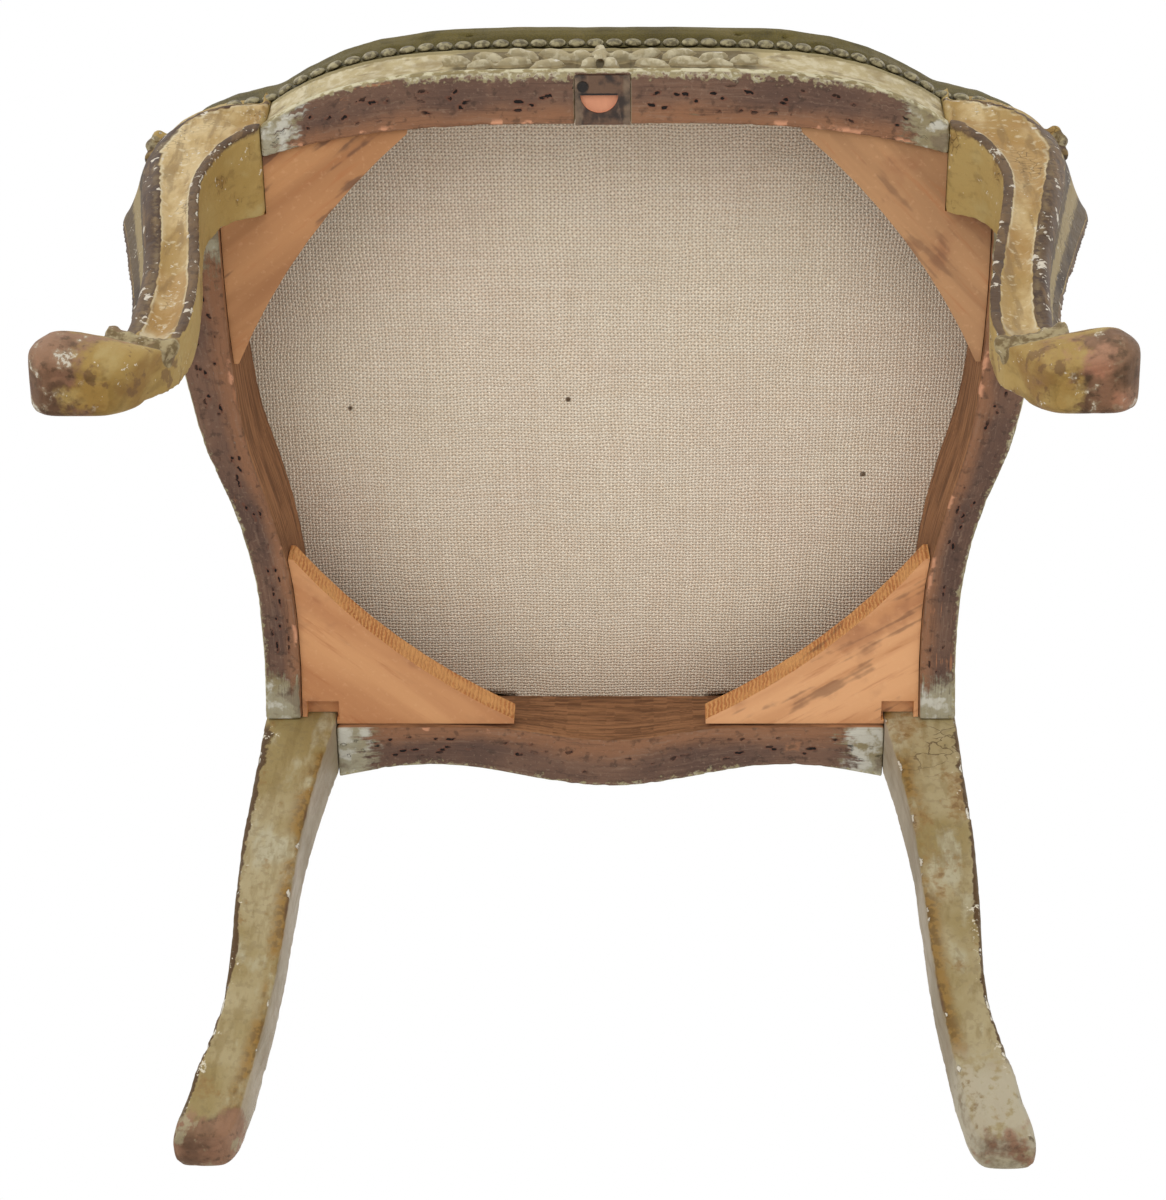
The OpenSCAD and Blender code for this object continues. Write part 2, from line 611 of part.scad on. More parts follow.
// The swell of the cover dies away towards the front corners, where it rises straight
lap_d = cove_d - 2 * seat_gap;
corner_in = lap_d - cover_t;
function least_in(k) = (corner_in + cover_proud) * pow(k, 4) - cover_proud;
function seat_half(inset, wall = 0) = let (gap = notch_gap(inset + wall), y = rear_post_y - gap,
    x = rear_in_x - gap, full = inset + wall)
    concat(
        [for (k = front_stops)
            [k * front_in_x, front_out_y(k * front_in_x) + max(inset, least_in(k)) + wall]],
        [for (p = [[max(knee_x - 48, (front_in_x + knee_x - 28) / 2), front_post_y + 5],
            [knee_x - 28, front_post_y + 13.3], [knee_x - 13, front_post_y + 27.5]])
            p + (max(inset, corner_in) + wall) * [-0.6, 0.8]],
        [for (k = [0 : side_stops]) let (y = front_post_back + (side_l - 6) * k / side_stops)
            [side_out_x(y) - full, y]],
        [[rear_out_x - full - 2, y], [rear_out_x - full - 2 - notch_in, y], [x, y],
            [x, rear_post_back - full - notch_in], [x, rear_post_back - full]],
        [for (k = [7 : -1 : 0]) let (x = rear_in_x * k / 8) [x, rear_out_y(x) - full]]);
function seat_outline(inset, wall = 0) = let (h = seat_half(inset, wall))
    concat(h, [for (i = [len(h) - 2 : -1 : 1]) [-h[i][0], h[i][1]]]);
seat_mid = [0, (front_y + rear_y) / 2 + 10];
// Points that lie over a rail at the notch stay above its hessian
function is_notch(i, n) = let (k = min(i, n - i)) k > notch_first && k < notch_first + 4;
function shrunk(outline, share, z, low) = [for (i = [0 : len(outline) - 1])
    let (q = seat_mid + (1 - share) * (outline[i] - seat_mid))
    [q[0], q[1], is_notch(i, len(outline)) ? max(z, low) : z]];

// Profile of the seat from the nails over the swell to the crown: distance inside the lower
// edge of the rails, share of the way to the middle, height above the rails
seat_rise = [[lap_d - cover_t, 0, 1 - rail_h * (1 - rebate_share)], [lap_d - cover_t, 0, -1.8],
    [1.5, 0, 2], [-cover_proud, 0, 9], [0, 0, 17], [4, 0.005, 26],
    [12, 0.02, 34], [14, 0.10, 41], [14, 0.26, 48.5], [14, 0.58, 56]];
rise_full = 60;
notch_low = rail_top + hessian_t + seat_gap;
function seat_skin(inward) = [for (i = [0 : len(seat_rise) - 1]) let (q = seat_rise[i])
    shrunk(seat_outline(q[0], inward * (q[2] < 26 ? 1 : 0.5)), q[1],
        rail_top + q[2] * crown_h / rise_full - (q[2] < 9 ? 0 : inward * 0.95), notch_low + 0.3 * i)];
crown_top = rail_top + crown_h;
web_z = rail_top + hessian_t + seat_gap;
web_h = 2 * web_t + seat_gap;
stuffing_z = web_z + 2 * web_h - web_t + 1;

// A dome closed by one point at the crown
function dome_faces(n, m) = concat(
    [for (k = [0 : m - 2]) for (i = [0 : n - 1]) let (j = (i + 1) % n)
        [k * n + i, (k + 1) * n + i, (k + 1) * n + j]],
    [for (k = [0 : m - 2]) for (i = [0 : n - 1]) let (j = (i + 1) % n)
        [k * n + i, (k + 1) * n + j, k * n + j]],
    [for (i = [0 : n - 1]) [(m - 1) * n + i, m * n, (m - 1) * n + (i + 1) % n]]);
function moved_faces(faces, by) = [for (f = faces) [for (i = f) i + by]];
// A cover is an outer dome and an inner dome joined by a rim
module shell(outer, inner, outer_top, inner_top) {
    n = len(outer[0]);
    m = len(outer);
    k = m * n + 1;
    polyhedron(
        points = concat(loft_points(outer), [outer_top], loft_points(inner), [inner_top]),
        faces = concat(dome_faces(n, m),
            [for (f = moved_faces(dome_faces(n, m), k)) backwards(f)],
            [for (i = [0 : n - 1]) [i, (i + 1) % n, k + (i + 1) % n]],
            [for (i = [0 : n - 1]) [i, k + (i + 1) % n, k + i]]));
}
module solid_dome(rings, top) {
    n = len(rings[0]);
    m = len(rings);
    polyhedron(points = concat(loft_points(rings), [top]),
        faces = concat([[for (i = [0 : n - 1]) i]], dome_faces(n, m)));
}
module seat_cover() {
    color(olive) shell(seat_skin(0), seat_skin(cover_t), [seat_mid[0], seat_mid[1], crown_top],
        [seat_mid[0], seat_mid[1], crown_top - cover_t]);
}
// The stuffing fills the cover above the webbing
module seat_stuffing() {
    fill = seat_skin(cover_t + seat_gap);
    first = 4;
    floor_ring = [for (p = fill[first]) [p[0], p[1], stuffing_z]];
    color("#8a7a5a") solid_dome(concat([floor_ring], [for (i = [first : len(fill) - 1]) fill[i]]),
        [seat_mid[0], seat_mid[1], crown_top - cover_t - seat_gap]);
}

// Hessian tacked over the tops of the rails, notched round the rear posts
module bottom_hessian() {
    color(hessian_tan) translate([0, 0, rail_top]) linear_extrude(hessian_t)
        polygon(seat_outline(cove_d + 9));
}

// Webbing straps, each woven over and under the ones that cross it
front_straps = 4;
side_straps = 4;
cross_gap = 18;
strap_step = web_w + cross_gap;
function web_wave(n, first) = [for (k = [0 : n - 1]) for (e = [0, 1])
    [(k - (n - 1) / 2) * strap_step + (e == 0 ? -web_w / 2 - 3 : web_w / 2 + 3),
        (k + first) % 2 == 0 ? 0 : web_h]];
module strap(path, from, to) {
    low = concat([[from, 0]], path, [[to, 0]]);
    rotate([90, 0, 0]) linear_extrude(web_w, center = true)
        polygon(concat(low, [for (p = backwards(low)) p + [0, web_t]]));
}
web_mid_y = (front_y + rear_post_back) / 2;
web_lap = 9;
module seat_webbing() {
    color("#9c8a62") translate([0, web_mid_y, web_z]) {
        for (k = [0 : side_straps - 1]) {
            y = (k - (side_straps - 1) / 2) * strap_step;
            reach = side_in_x(web_mid_y + y) + web_lap;
            translate([0, y, 0]) strap(web_wave(front_straps, k), -reach, reach);
        }
        for (k = [0 : front_straps - 1]) {
            x = (k - (front_straps - 1) / 2) * strap_step;
            translate([x, 0, 0]) rotate([0, 0, 90]) strap(web_wave(side_straps, k + 1),
                front_in_y(x) - web_lap - web_mid_y, rear_in_top_y(x) + web_lap / 2 - web_mid_y);
        }
    }
}

// The head of a dome nail, flat on z = 0
nail_rise = nail_d * 0.26;
module dome_nail() {
    cylinder(h = nail_rise, d1 = nail_d, d2 = nail_d * 0.45, $fn = 24);
}
// Walks along a line of points and gives a place and direction every pitch
function run_length(line, i = 0) = i >= len(line) - 1 ? 0
    : norm(line[i + 1] - line[i]) + run_length(line, i + 1);
function walk(line, d, i = 0) = let (s = norm(line[i + 1] - line[i]))
    d <= s || i >= len(line) - 2 ? [line[i] + (line[i + 1] - line[i]) * d / s, (line[i + 1] - line[i]) / s]
    : walk(line, d - s, i + 1);
module nail_row(line, z) {
    total = run_length(line);
    n = floor(total / nail_pitch);
    for (k = [0 : n - 1]) {
        w = walk(line, (k + 0.5) * total / n);
        translate([w[0][0], w[0][1], z]) rotate([0, 0, atan2(w[1][1], w[1][0])])
            rotate([90, 0, 0]) dome_nail();
    }
}
nail_inset = lap_d - cover_t - 0.05;
module seat_nails() {
    half = seat_half(nail_inset);
    n = len(half);
    front_line = [for (i = [0 : notch_first]) half[i]];
    rear_line = [for (i = [notch_first + 4 : n - 1]) half[i]];
    color("#8a7f60") for (side = [0, 1]) mirror([side, 0, 0]) {
        nail_row(front_line, nail_z);
        nail_row(rear_line, nail_z);
    }
}

// Outline of the back panel on the face of the back, right half from the lower centre up,
// at a given distance outside the inner edge of the frame
panel_n = 10;
function panel_half(out) = concat(
    [for (k = [0 : 4]) let (x = (lower_end_x - 4) * k / 4.4) [x, lower_top(x) - out]],
    [for (k = [0 : panel_n]) let (z = lower_rail_z + lower_rail_w + 8
        + (crest_joint_z - lower_rail_z - lower_rail_w - 12) * k / panel_n) [stile_in_x(z) + out, z]],
    [for (k = [1 : 11]) let (s = k / 11, p = crest_point(s, 1, 1), q = crest_point(s, 3, 1),
        t = (q - p) / norm(q - p)) p + out * t]);
function panel_outline(out) = let (h = panel_half(out))
    concat(h, [for (i = [len(h) - 2 : -1 : 1]) [-h[i][0], h[i][1]]]);
panel_mid = [0, (lower_rail_z + lower_rail_w + crest_in) / 2];
function panel_ring(out, share, depth) = [for (p = panel_outline(out))
    on_back(panel_mid + (1 - share) * (p - panel_mid), depth)];
panel_lap = 10;
// Profile of the back pad: distance outside the inner edge, share of the way to the middle,
// and how far it stands in front of the face of the frame
lap_rise = cover_t + seat_gap - rebate_d;
pad_rise = [[panel_lap, 0, lap_rise], [0, 0, lap_rise], [-3, 0, 6], [-7, 0.01, 12],
    [-12, 0.06, 16.5], [-12, 0.18, 20], [-12, 0.40, 22.5], [-12, 0.70, 23.6]];
swell_full = 24;
function pad_skin(inward) = [for (i = [0 : len(pad_rise) - 1]) let (q = pad_rise[i])
    panel_ring(q[0] - (i > 1 && i < 5 ? inward * 0.6 : 0), q[1],
        inward - q[2] * (i < 2 ? 1 : back_swell / swell_full))];
module inside_back_cover() {
    color(olive) shell(pad_skin(0), pad_skin(cover_t), on_back(panel_mid, -back_swell),
        on_back(panel_mid, cover_t - back_swell));
}
hessian_depth = 12;
module back_stuffing() {
    fill = pad_skin(cover_t + seat_gap);
    base = panel_ring(-4, 0, hessian_depth - seat_gap);
    edge = panel_ring(-4, 0, 1);
    color("#8a7a5a") solid_dome(concat([base, edge], [for (i = [2 : len(fill) - 1]) fill[i]]),
        on_back(panel_mid, cover_t + seat_gap - back_swell));
}
module back_hessian() {
    base = panel_ring(-2 * seat_gap, 0, hessian_depth);
    top = panel_ring(-2 * seat_gap, 0, hessian_depth + hessian_t);
    color(hessian_tan) loft([top, base]);
}
web_depth = hessian_depth + hessian_t + seat_gap;
back_web_step = (crest_in - lower_rail_z - lower_rail_w) / 4;
module back_webbing() {
    color("#9c8a62") for (k = [-1 : 1]) {
        z = panel_mid[1] + k * back_web_step;
        low = z - web_w / 2;
        high = z + web_w / 2;
        w = min(stile_in_x(low), stile_in_x(high)) - seat_gap;
        loft([for (x = [w, -w]) [on_back([x, low], web_depth), on_back([x, high], web_depth),
            on_back([x, high], web_depth + web_t), on_back([x, low], web_depth + web_t)]]);
    }
}
outside_depth = back_t + seat_gap;
module outside_back_cover() {
    color(olive) loft([for (depth = [outside_depth + cover_t, outside_depth])
        panel_ring(panel_lap, 0, depth)]);
}
lean_angle = atan(back_lean);
module back_nail_row(out, depth, turn) {
    line = panel_outline(out);
    closed = concat(line, [line[0]]);
    total = run_length(closed);
    n = floor(total / nail_pitch);
    for (k = [0 : n - 1]) {
        w = walk(closed, (k + 0.5) * total / n);
        translate(on_back(w[0], depth)) rotate([turn - lean_angle, 0, 0]) dome_nail();
    }
}
module inside_back_nails() {
    color("#8a7f60") back_nail_row(panel_lap - nail_d / 2 - 0.3, -lap_rise - 0.05, 90);
}
module outside_back_nails() {
    color("#8a7f60") back_nail_row(panel_lap - nail_d / 2 - 0.3, outside_depth + cover_t + 0.05, -90);
}

front_left_leg();
front_right_leg();
rear_left_leg();
rear_right_leg();
front_rail();
rear_rail();
left_side_rail();
right_side_rail();
crest_rail();
lower_back_rail();
front_left_block();
front_right_block();
rear_left_block();
rear_right_block();
rail_patch();
seat_pegs();
back_pegs();
bottom_hessian();
seat_webbing();
seat_stuffing();
seat_cover();
seat_nails();
back_webbing();
back_hessian();
back_stuffing();
inside_back_cover();
inside_back_nails();
outside_back_cover();
outside_back_nails();
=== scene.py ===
# Side chair with a carved and painted frame, a nailed leather seat and a framed, nailed back.
# Lengths are in metres, except where a name ends in _mm and in the outlines of the front legs.
import math
import random

import bmesh
import bpy
import numpy as np
from mathutils import Matrix, Vector, noise
from mathutils.bvhtree import BVHTree
from mathutils.kdtree import KDTree


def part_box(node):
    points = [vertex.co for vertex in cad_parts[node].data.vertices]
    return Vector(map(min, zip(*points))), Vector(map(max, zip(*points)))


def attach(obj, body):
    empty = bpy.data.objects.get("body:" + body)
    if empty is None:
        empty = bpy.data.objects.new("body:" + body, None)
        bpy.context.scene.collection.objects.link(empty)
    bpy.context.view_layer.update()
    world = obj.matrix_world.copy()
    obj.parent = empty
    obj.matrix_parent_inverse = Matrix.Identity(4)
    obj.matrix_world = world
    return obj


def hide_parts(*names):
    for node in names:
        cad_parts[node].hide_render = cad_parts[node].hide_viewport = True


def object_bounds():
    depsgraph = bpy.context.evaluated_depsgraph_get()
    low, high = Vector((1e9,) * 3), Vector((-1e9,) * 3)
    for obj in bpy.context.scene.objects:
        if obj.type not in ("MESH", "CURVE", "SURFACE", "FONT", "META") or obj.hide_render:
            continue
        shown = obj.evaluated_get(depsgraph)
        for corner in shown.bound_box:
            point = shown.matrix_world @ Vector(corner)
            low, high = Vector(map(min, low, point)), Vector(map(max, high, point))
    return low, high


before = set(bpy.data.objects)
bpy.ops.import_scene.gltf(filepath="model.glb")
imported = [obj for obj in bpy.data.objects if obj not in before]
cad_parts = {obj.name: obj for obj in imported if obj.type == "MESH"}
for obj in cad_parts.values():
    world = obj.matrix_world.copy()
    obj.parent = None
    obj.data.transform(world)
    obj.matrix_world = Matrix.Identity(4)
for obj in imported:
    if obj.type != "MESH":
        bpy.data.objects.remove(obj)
cad_low, cad_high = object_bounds()

# Camera. It stands low in front of the chair and looks up at the underside of the seat,
# with a long lens and a slight roll.
camera_place = Vector((0.0273, -0.7511, -1.1815))
camera_target = Vector((-0.0146, 0.0465, 0.3000))
camera_roll = math.radians(2.58)
aim = (camera_target - camera_place).normalized()
level_right = aim.cross(Vector((0, 0, 1))).normalized()
level_up = level_right.cross(aim)
camera_right = math.cos(camera_roll) * level_right + math.sin(camera_roll) * level_up
camera_up = math.cos(camera_roll) * level_up - math.sin(camera_roll) * level_right
camera = bpy.data.objects.new("camera", bpy.data.cameras.new("camera"))
camera.data.lens = 87.75
camera.data.sensor_width = 36
camera_turn = Matrix((camera_right, camera_up, -aim)).transposed()
camera.matrix_world = Matrix.Translation(camera_place) @ camera_turn.to_4x4()
bpy.context.scene.collection.objects.link(camera)
bpy.context.scene.camera = camera
bpy.context.scene.view_settings.view_transform = "Standard"

# Studio light. Broad soft lamps stand on both sides below the seat, where the underside is
# looked at, and others hang above for the top and the back.
seat_middle = Vector((0, 0, 0.33))
lamps = [("low_front", (-0.5, -1.7, -0.85), 1.5, 19), ("low_right", (0.9, -0.6, -1.3), 1.8, 13),
    ("low_left", (-1.0, 0.2, -1.4), 1.8, 11), ("high_left", (-1.6, -1.5, 1.9), 1.6, 20),
    ("high_right", (1.7, -0.6, 1.7), 1.6, 13), ("high_back", (0.3, 2.0, 1.8), 1.6, 18)]
for lamp_name, lamp_place, lamp_size, lamp_watts in lamps:
    lamp_data = bpy.data.lights.new(lamp_name, "AREA")
    lamp_data.size = lamp_size
    lamp_data.energy = lamp_watts
    lamp = bpy.data.objects.new(lamp_name, lamp_data)
    lamp.location = lamp_place
    lamp.rotation_euler = (seat_middle - Vector(lamp_place)).to_track_quat("-Z", "Y").to_euler()
    bpy.context.scene.collection.objects.link(lamp)


class Flow:
    """A socket in a finish. Arithmetic on it adds Math nodes, so a mask reads as an expression."""

    def __init__(self, finish, socket):
        self.finish = finish
        self.socket = socket

    def maths(self, operation, first, second=0.0):
        return self.finish.node("Math", {"operation": operation}, {0: first, 1: second})

    def __add__(self, other):
        return self.maths("ADD", self, other)

    __radd__ = __add__

    def __sub__(self, other):
        return self.maths("SUBTRACT", self, other)

    def __rsub__(self, other):
        return self.maths("SUBTRACT", other, self)

    def __mul__(self, other):
        return self.maths("MULTIPLY", self, other)

    __rmul__ = __mul__

    def __abs__(self):
        return self.maths("ABSOLUTE", self)

    def swing(self, amount):
        """Noise, which lies about 0.5, as a value that swings by an amount about 0."""
        return amount * (self - 0.5)

    def rise(self, low, high):
        """0 below low and 1 above high, with a smooth step between; low may be above high."""
        return self.finish.node("MapRange", {"interpolation_type": "SMOOTHSTEP"},
            {"Value": self, "From Min": low, "From Max": high})


def colour(red, green, blue):
    """A colour given as it looks on a screen, from 0 to 255, in the linear values of a shader."""
    return tuple((v / 255 / 12.92 if v < 10.3 else ((v / 255 + 0.055) / 1.055) ** 2.4)
        for v in (red, green, blue)) + (1.0,)


class Finish:
    """A material made of nodes. Every node comes from node()."""

    def __init__(self, name):
        self.material = bpy.data.materials.new(name)
        self.material.use_nodes = True
        self.tree = self.material.node_tree
        self.tree.nodes.clear()

    def node(self, kind, settings=None, inputs=None, out=0):
        made = self.tree.nodes.new("ShaderNode" + kind)
        for key, value in (settings or {}).items():
            setattr(made, key, value)
        for key, value in (inputs or {}).items():
            if isinstance(value, Flow):
                self.tree.links.new(value.socket, made.inputs[key])
            else:
                made.inputs[key].default_value = value
        return Flow(self, made.outputs[out]) if len(made.outputs) else made

    def mix(self, share, first, second):
        """Mixes two tones. A tone is a socket, or a colour from 0 to 255 as it looks on a screen."""
        tones = [tone if isinstance(tone, Flow) else colour(*tone) for tone in (first, second)]
        return self.node("Mix", {"data_type": "RGBA"}, {0: share, 6: tones[0], 7: tones[1]}, 2)

    def layers(self, tone, *coats):
        """Lays coats over a first tone. Each coat is given as its share and its own tone."""
        for share, coat in coats:
            tone = self.mix(share, tone, coat)
        return tone

    def scaled(self, vector, by, shift=(0, 0, 0)):
        """A vector multiplied by another and shifted."""
        return self.node("VectorMath", {"operation": "MULTIPLY_ADD"}, {0: vector, 1: by, 2: shift})

    def place(self, stretch=(1, 1, 1), shift=(0, 0, 0)):
        return self.scaled(self.node("TexCoord", out="Object"), stretch, shift)

    def coordinate(self, axis, vector=None):
        """One coordinate of a vector, or of the place itself."""
        return self.node("SeparateXYZ", None, {"Vector": self.place() if vector is None else vector}, axis)

    def noise(self, vector, scale, detail, rough=0.5, out=0):
        """Noise over a vector that may be turned, stretched or bent."""
        return self.node("TexNoise", None, {"Vector": vector, "Scale": scale, "Detail": detail,
            "Roughness": rough}, out)

    def cloud(self, per_metre, detail, stretch=(1, 1, 1), shift=(0, 0, 0), rough=0.55):
        """Noise with so many features to the metre."""
        return self.noise(self.place(stretch, shift), per_metre, detail, rough)

    def cells(self, vector, scale, **settings):
        """Scattered cells: the distance to their middles, or to their edges."""
        return self.node("TexVoronoi", settings, {"Vector": vector, "Scale": scale})

    def painted_on(self, name):
        """A value that the mesh carries at its points."""
        return self.node("Attribute", {"attribute_name": name}, out="Fac")

    def surface(self, base, rough, height, relief, strength=1.0, **plain):
        """Ends the finish with its colour, its roughness and the relief of its surface."""
        bump = self.node("Bump", None, {"Height": height, "Distance": relief, "Strength": strength})
        inputs = {"Base Color": base, "Roughness": rough, "Normal": bump}
        inputs.update({key.replace("_", " "): value for key, value in plain.items()})
        self.end(self.node("BsdfPrincipled", None, inputs))
        return self.material

    def end(self, shader):
        self.node("OutputMaterial", None, {"Surface": shader})


# Floor, a pale studio ground. It is clear from below, and lets the low lamps through,
# but shows and holds the shadow of the chair from above.
floor_half = 5.0
floor_mesh = bpy.data.meshes.new("floor")
floor_mesh.from_pydata([(-floor_half, -floor_half, 0), (floor_half, -floor_half, 0),
    (floor_half, floor_half, 0), (-floor_half, floor_half, 0)], [], [(0, 1, 2, 3)])
floor = bpy.data.objects.new("floor", floor_mesh)
bpy.context.scene.collection.objects.link(floor)
ground = Finish("pale_ground")
from_below = ground.node("NewGeometry", out="Backfacing")
to_a_lamp = ground.node("LightPath", out="Is Shadow Ray")
ground.end(ground.node("MixShader", None, {0: from_below.maths("MAXIMUM", from_below, to_a_lamp),
    1: ground.node("BsdfDiffuse", None, {"Color": colour(236, 235, 232)}),
    2: ground.node("BsdfTransparent")}))
floor_mesh.materials.append(ground.material)

# Background: white where it is looked at or mirrored, and a dim even light on everything else.
world = bpy.data.worlds.new("studio")
world.use_nodes = True
bpy.context.scene.world = world
backdrop = world.node_tree.nodes["Background"]
backdrop.inputs["Color"].default_value = (1, 1, 1, 1)
sight = world.node_tree.nodes.new("ShaderNodeLightPath")
seen = sight.outputs["Is Camera Ray"]
for other in ("Is Glossy Ray", "Is Transmission Ray"):
    either = world.node_tree.nodes.new("ShaderNodeMath")
    either.operation = "MAXIMUM"
    world.node_tree.links.new(seen, either.inputs[0])
    world.node_tree.links.new(sight.outputs[other], either.inputs[1])
    seen = either.outputs[0]
level = world.node_tree.nodes.new("ShaderNodeMapRange")
level.inputs["To Min"].default_value = 0.45
world.node_tree.links.new(seen, level.inputs["Value"])
world.node_tree.links.new(level.outputs[0], backdrop.inputs["Strength"])


# Seat rails: four pieces of old walnut-brown wood, moulded and painted outside and bare below,
# tenoned into the posts. Their undersides are full of tack holes, with paint left at the ends.
def in_scene(name, mesh):
    piece = bpy.data.objects.new(name, mesh)
    bpy.context.scene.collection.objects.link(piece)
    return piece


def points_of(mesh):
    points = np.empty(len(mesh.vertices) * 3)
    mesh.vertices.foreach_get("co", points)
    return points.reshape(-1, 3)


def move_to(mesh, points):
    mesh.vertices.foreach_set("co", points.ravel())
    mesh.update()


def as_mesh(made, name):
    """The mesh of a form that is ready, with the form itself cleared away."""
    mesh = bpy.data.meshes.new(name)
    made.to_mesh(mesh)
    made.free()
    return mesh


def carry(mesh, **marks):
    """Stores values for the points of a mesh under their names, for its finish to read."""
    for name, values in marks.items():
        mesh.attributes.new(name, "FLOAT", "POINT").data.foreach_set("value", np.float32(values))


def unit(values):
    """Values held between 0 and 1."""
    return np.clip(values, 0, 1)


def smoothed(points, edges, share):
    """Moves each point by a share of the way to the mean of its neighbours."""
    count = np.bincount(edges.ravel(), minlength=len(points))[:, None]
    one, other = edges.T
    total = np.stack([np.bincount(one, column[other], len(points))
        + np.bincount(other, column[one], len(points)) for column in points.T], 1)
    return points + share * (total / np.maximum(count, 1) - points)


def edges_of(mesh):
    edges = np.empty(len(mesh.edges) * 2, np.int64)
    mesh.edges.foreach_get("vertices", edges)
    return edges.reshape(-1, 2)


def normals_of(mesh):
    normals = np.empty(len(mesh.vertices) * 3)
    mesh.vertex_normals.foreach_get("vector", normals)
    return normals.reshape(-1, 3)


def bumps(points, per_metre, seed):
    """Smooth noise from -1 to 1 at each point."""
    return np.array([noise.noise((x + seed, y, z)) for x, y, z in (points * per_metre).tolist()])


def copied(node):
    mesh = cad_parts[node].data.copy()
    mesh.materials.clear()
    return mesh


def in_one_skin(name, meshes, voxel):
    """Joins closed meshes into one carved solid with an even net of points."""
    joined = bmesh.new()
    for mesh in meshes:
        joined.from_mesh(mesh)
    bmesh.ops.remove_doubles(joined, verts=joined.verts, dist=1e-6)
    piece = in_scene(name, as_mesh(joined, name))
    net = piece.modifiers.new("net", "REMESH")
    net.mode = "VOXEL"
    net.voxel_size = voxel
    whole = bpy.data.meshes.new_from_object(piece.evaluated_get(bpy.context.evaluated_depsgraph_get()))
    piece.modifiers.clear()
    piece.data = whole
    return piece


def aged(piece, seed, melt=3, chip=0.0012):
    """Melts the facets, wears and chips the edges inwards, and carries how sharp each edge is."""
    full_bend = 0.0005
    wave = 0.0003
    mesh = piece.data
    points = points_of(mesh)
    edges = edges_of(mesh)
    for _ in range(melt):
        points = smoothed(points, edges, 0.5)
    move_to(mesh, points)
    normals = normals_of(mesh)
    bend = ((points - smoothed(smoothed(points, edges, 1), edges, 1)) * normals).sum(1)
    sharp = unit(bend / full_bend)
    hollow = unit(-bend / full_bend)
    broken = unit(bumps(points, 160, seed) * 2 + bumps(points, 45, seed + 9) * 1.6 - 0.25)
    depth = chip * sharp * broken + wave * (1 + bumps(points, 40, seed + 3)) / 2
    points -= normals * depth[:, None]
    move_to(mesh, points)
    carry(mesh, sharp=smoothed(sharp[:, None], edges, 0.6)[:, 0],
        hollow=smoothed(hollow[:, None], edges, 0.6)[:, 0], broken=sharp * broken)
    mesh.shade_smooth()
    return points, normals


rail_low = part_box("rear_rail")[0].z
rail_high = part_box("rear_rail")[1].z
rail_tall = rail_high - rail_low
front_in_x = 0.183
front_edge_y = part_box("front_rail")[0].y
front_bow = 0.030
rear_in_x = 0.1615
front_post_back = -0.1885
rear_post_front = 0.127


def across_of(points, picked, run, cross, outer):
    """Place of each point between the outer edge (0) and the inner edge (1) of the picked face."""
    step = 0.004
    place = np.round(points[:, run] / step).astype(int)
    place -= place.min()
    near = np.full(place.max() + 1, np.inf)
    far = np.full(place.max() + 1, -np.inf)
    np.minimum.at(near, place[picked], points[picked, cross])
    np.maximum.at(far, place[picked], points[picked, cross])
    share = np.nan_to_num((points[:, cross] - near[place]) / np.maximum(far - near, step)[place], nan=0.5)
    return unit(share if outer < 0 else 1 - share)


def set_at(place, radii, turn):
    """Takes a ball of radius 1 to its place, with its own radii and a turn about y."""
    return Matrix.Translation(place) @ Matrix.Rotation(turn, 4, "Y") @ Matrix.Diagonal((*radii, 1))


def flattened_ball(place, radii, turn=0.0):
    """A closed ellipsoid that is carved as part of the wood."""
    ball = bmesh.new()
    bmesh.ops.create_icosphere(ball, subdivisions=3, radius=1.0, matrix=set_at(place, radii, turn))
    return as_mesh(ball, "carving")


def rail_front_y(x):
    """Depth of the lower front edge of the front rail."""
    return front_edge_y + front_bow * (abs(x) / front_in_x) ** 4.3


def leaf(place, radii, turn):
    """A closed leaf with a pointed end, a split down its middle and three notches a side."""
    made = bmesh.new()
    bmesh.ops.create_icosphere(made, subdivisions=4, radius=1.0)
    for vert in made.verts:
        x, y, z = vert.co
        taper = 1 - 0.65 * max(x, 0) ** 1.5 - 0.30 * max(-x, 0)
        notch = 1 - 0.26 * (0.5 + 0.5 * math.cos(9 * x))
        vein = 1 - 0.50 * math.exp(-(z / 0.20) ** 2)
        vert.co = (x, y * vein, z * taper * notch)
    made.transform(set_at(place, radii, turn))
    return as_mesh(made, "leaf")


# The middle of the front rail is carved with a five-petalled flower between two leafy sprays.
# Each leaf has its reach, rise, length, width and turn.
flower_x = -0.002
flower_z = rail_low + 0.43 * rail_tall
petal_out = 0.0105
petal_up = 0.0115
flower = [flattened_ball((flower_x, rail_front_y(0) + 0.0002, flower_z), (0.0044, 0.0034, 0.0048))]
for k in range(5):
    angle = math.radians(90 + 72 * k)
    flower.append(leaf((flower_x + petal_out * math.cos(angle), rail_front_y(0) + 0.0024,
        flower_z + petal_up * math.sin(angle)), (0.0064, 0.0046, 0.0044), -angle))
spray = [(0.024, 0.009, 0.0115, 0.0040, 30), (0.028, -0.008, 0.0115, 0.0038, -26),
    (0.042, 0.010, 0.0110, 0.0036, 26), (0.046, -0.004, 0.0110, 0.0036, -14),
    (0.060, 0.005, 0.0100, 0.0032, 20), (0.064, -0.007, 0.0085, 0.0028, -24),
    (0.077, 0.001, 0.0090, 0.0026, 4)]
for side in (-1, 1):
    for reach, rise, length, width, turn in spray:
        x = flower_x + side * reach
        lean = math.radians(turn) if side > 0 else math.pi - math.radians(turn)
        flower.append(leaf((x, rail_front_y(x) + 0.0034, flower_z + rise), (length, 0.0046, width), -lean))

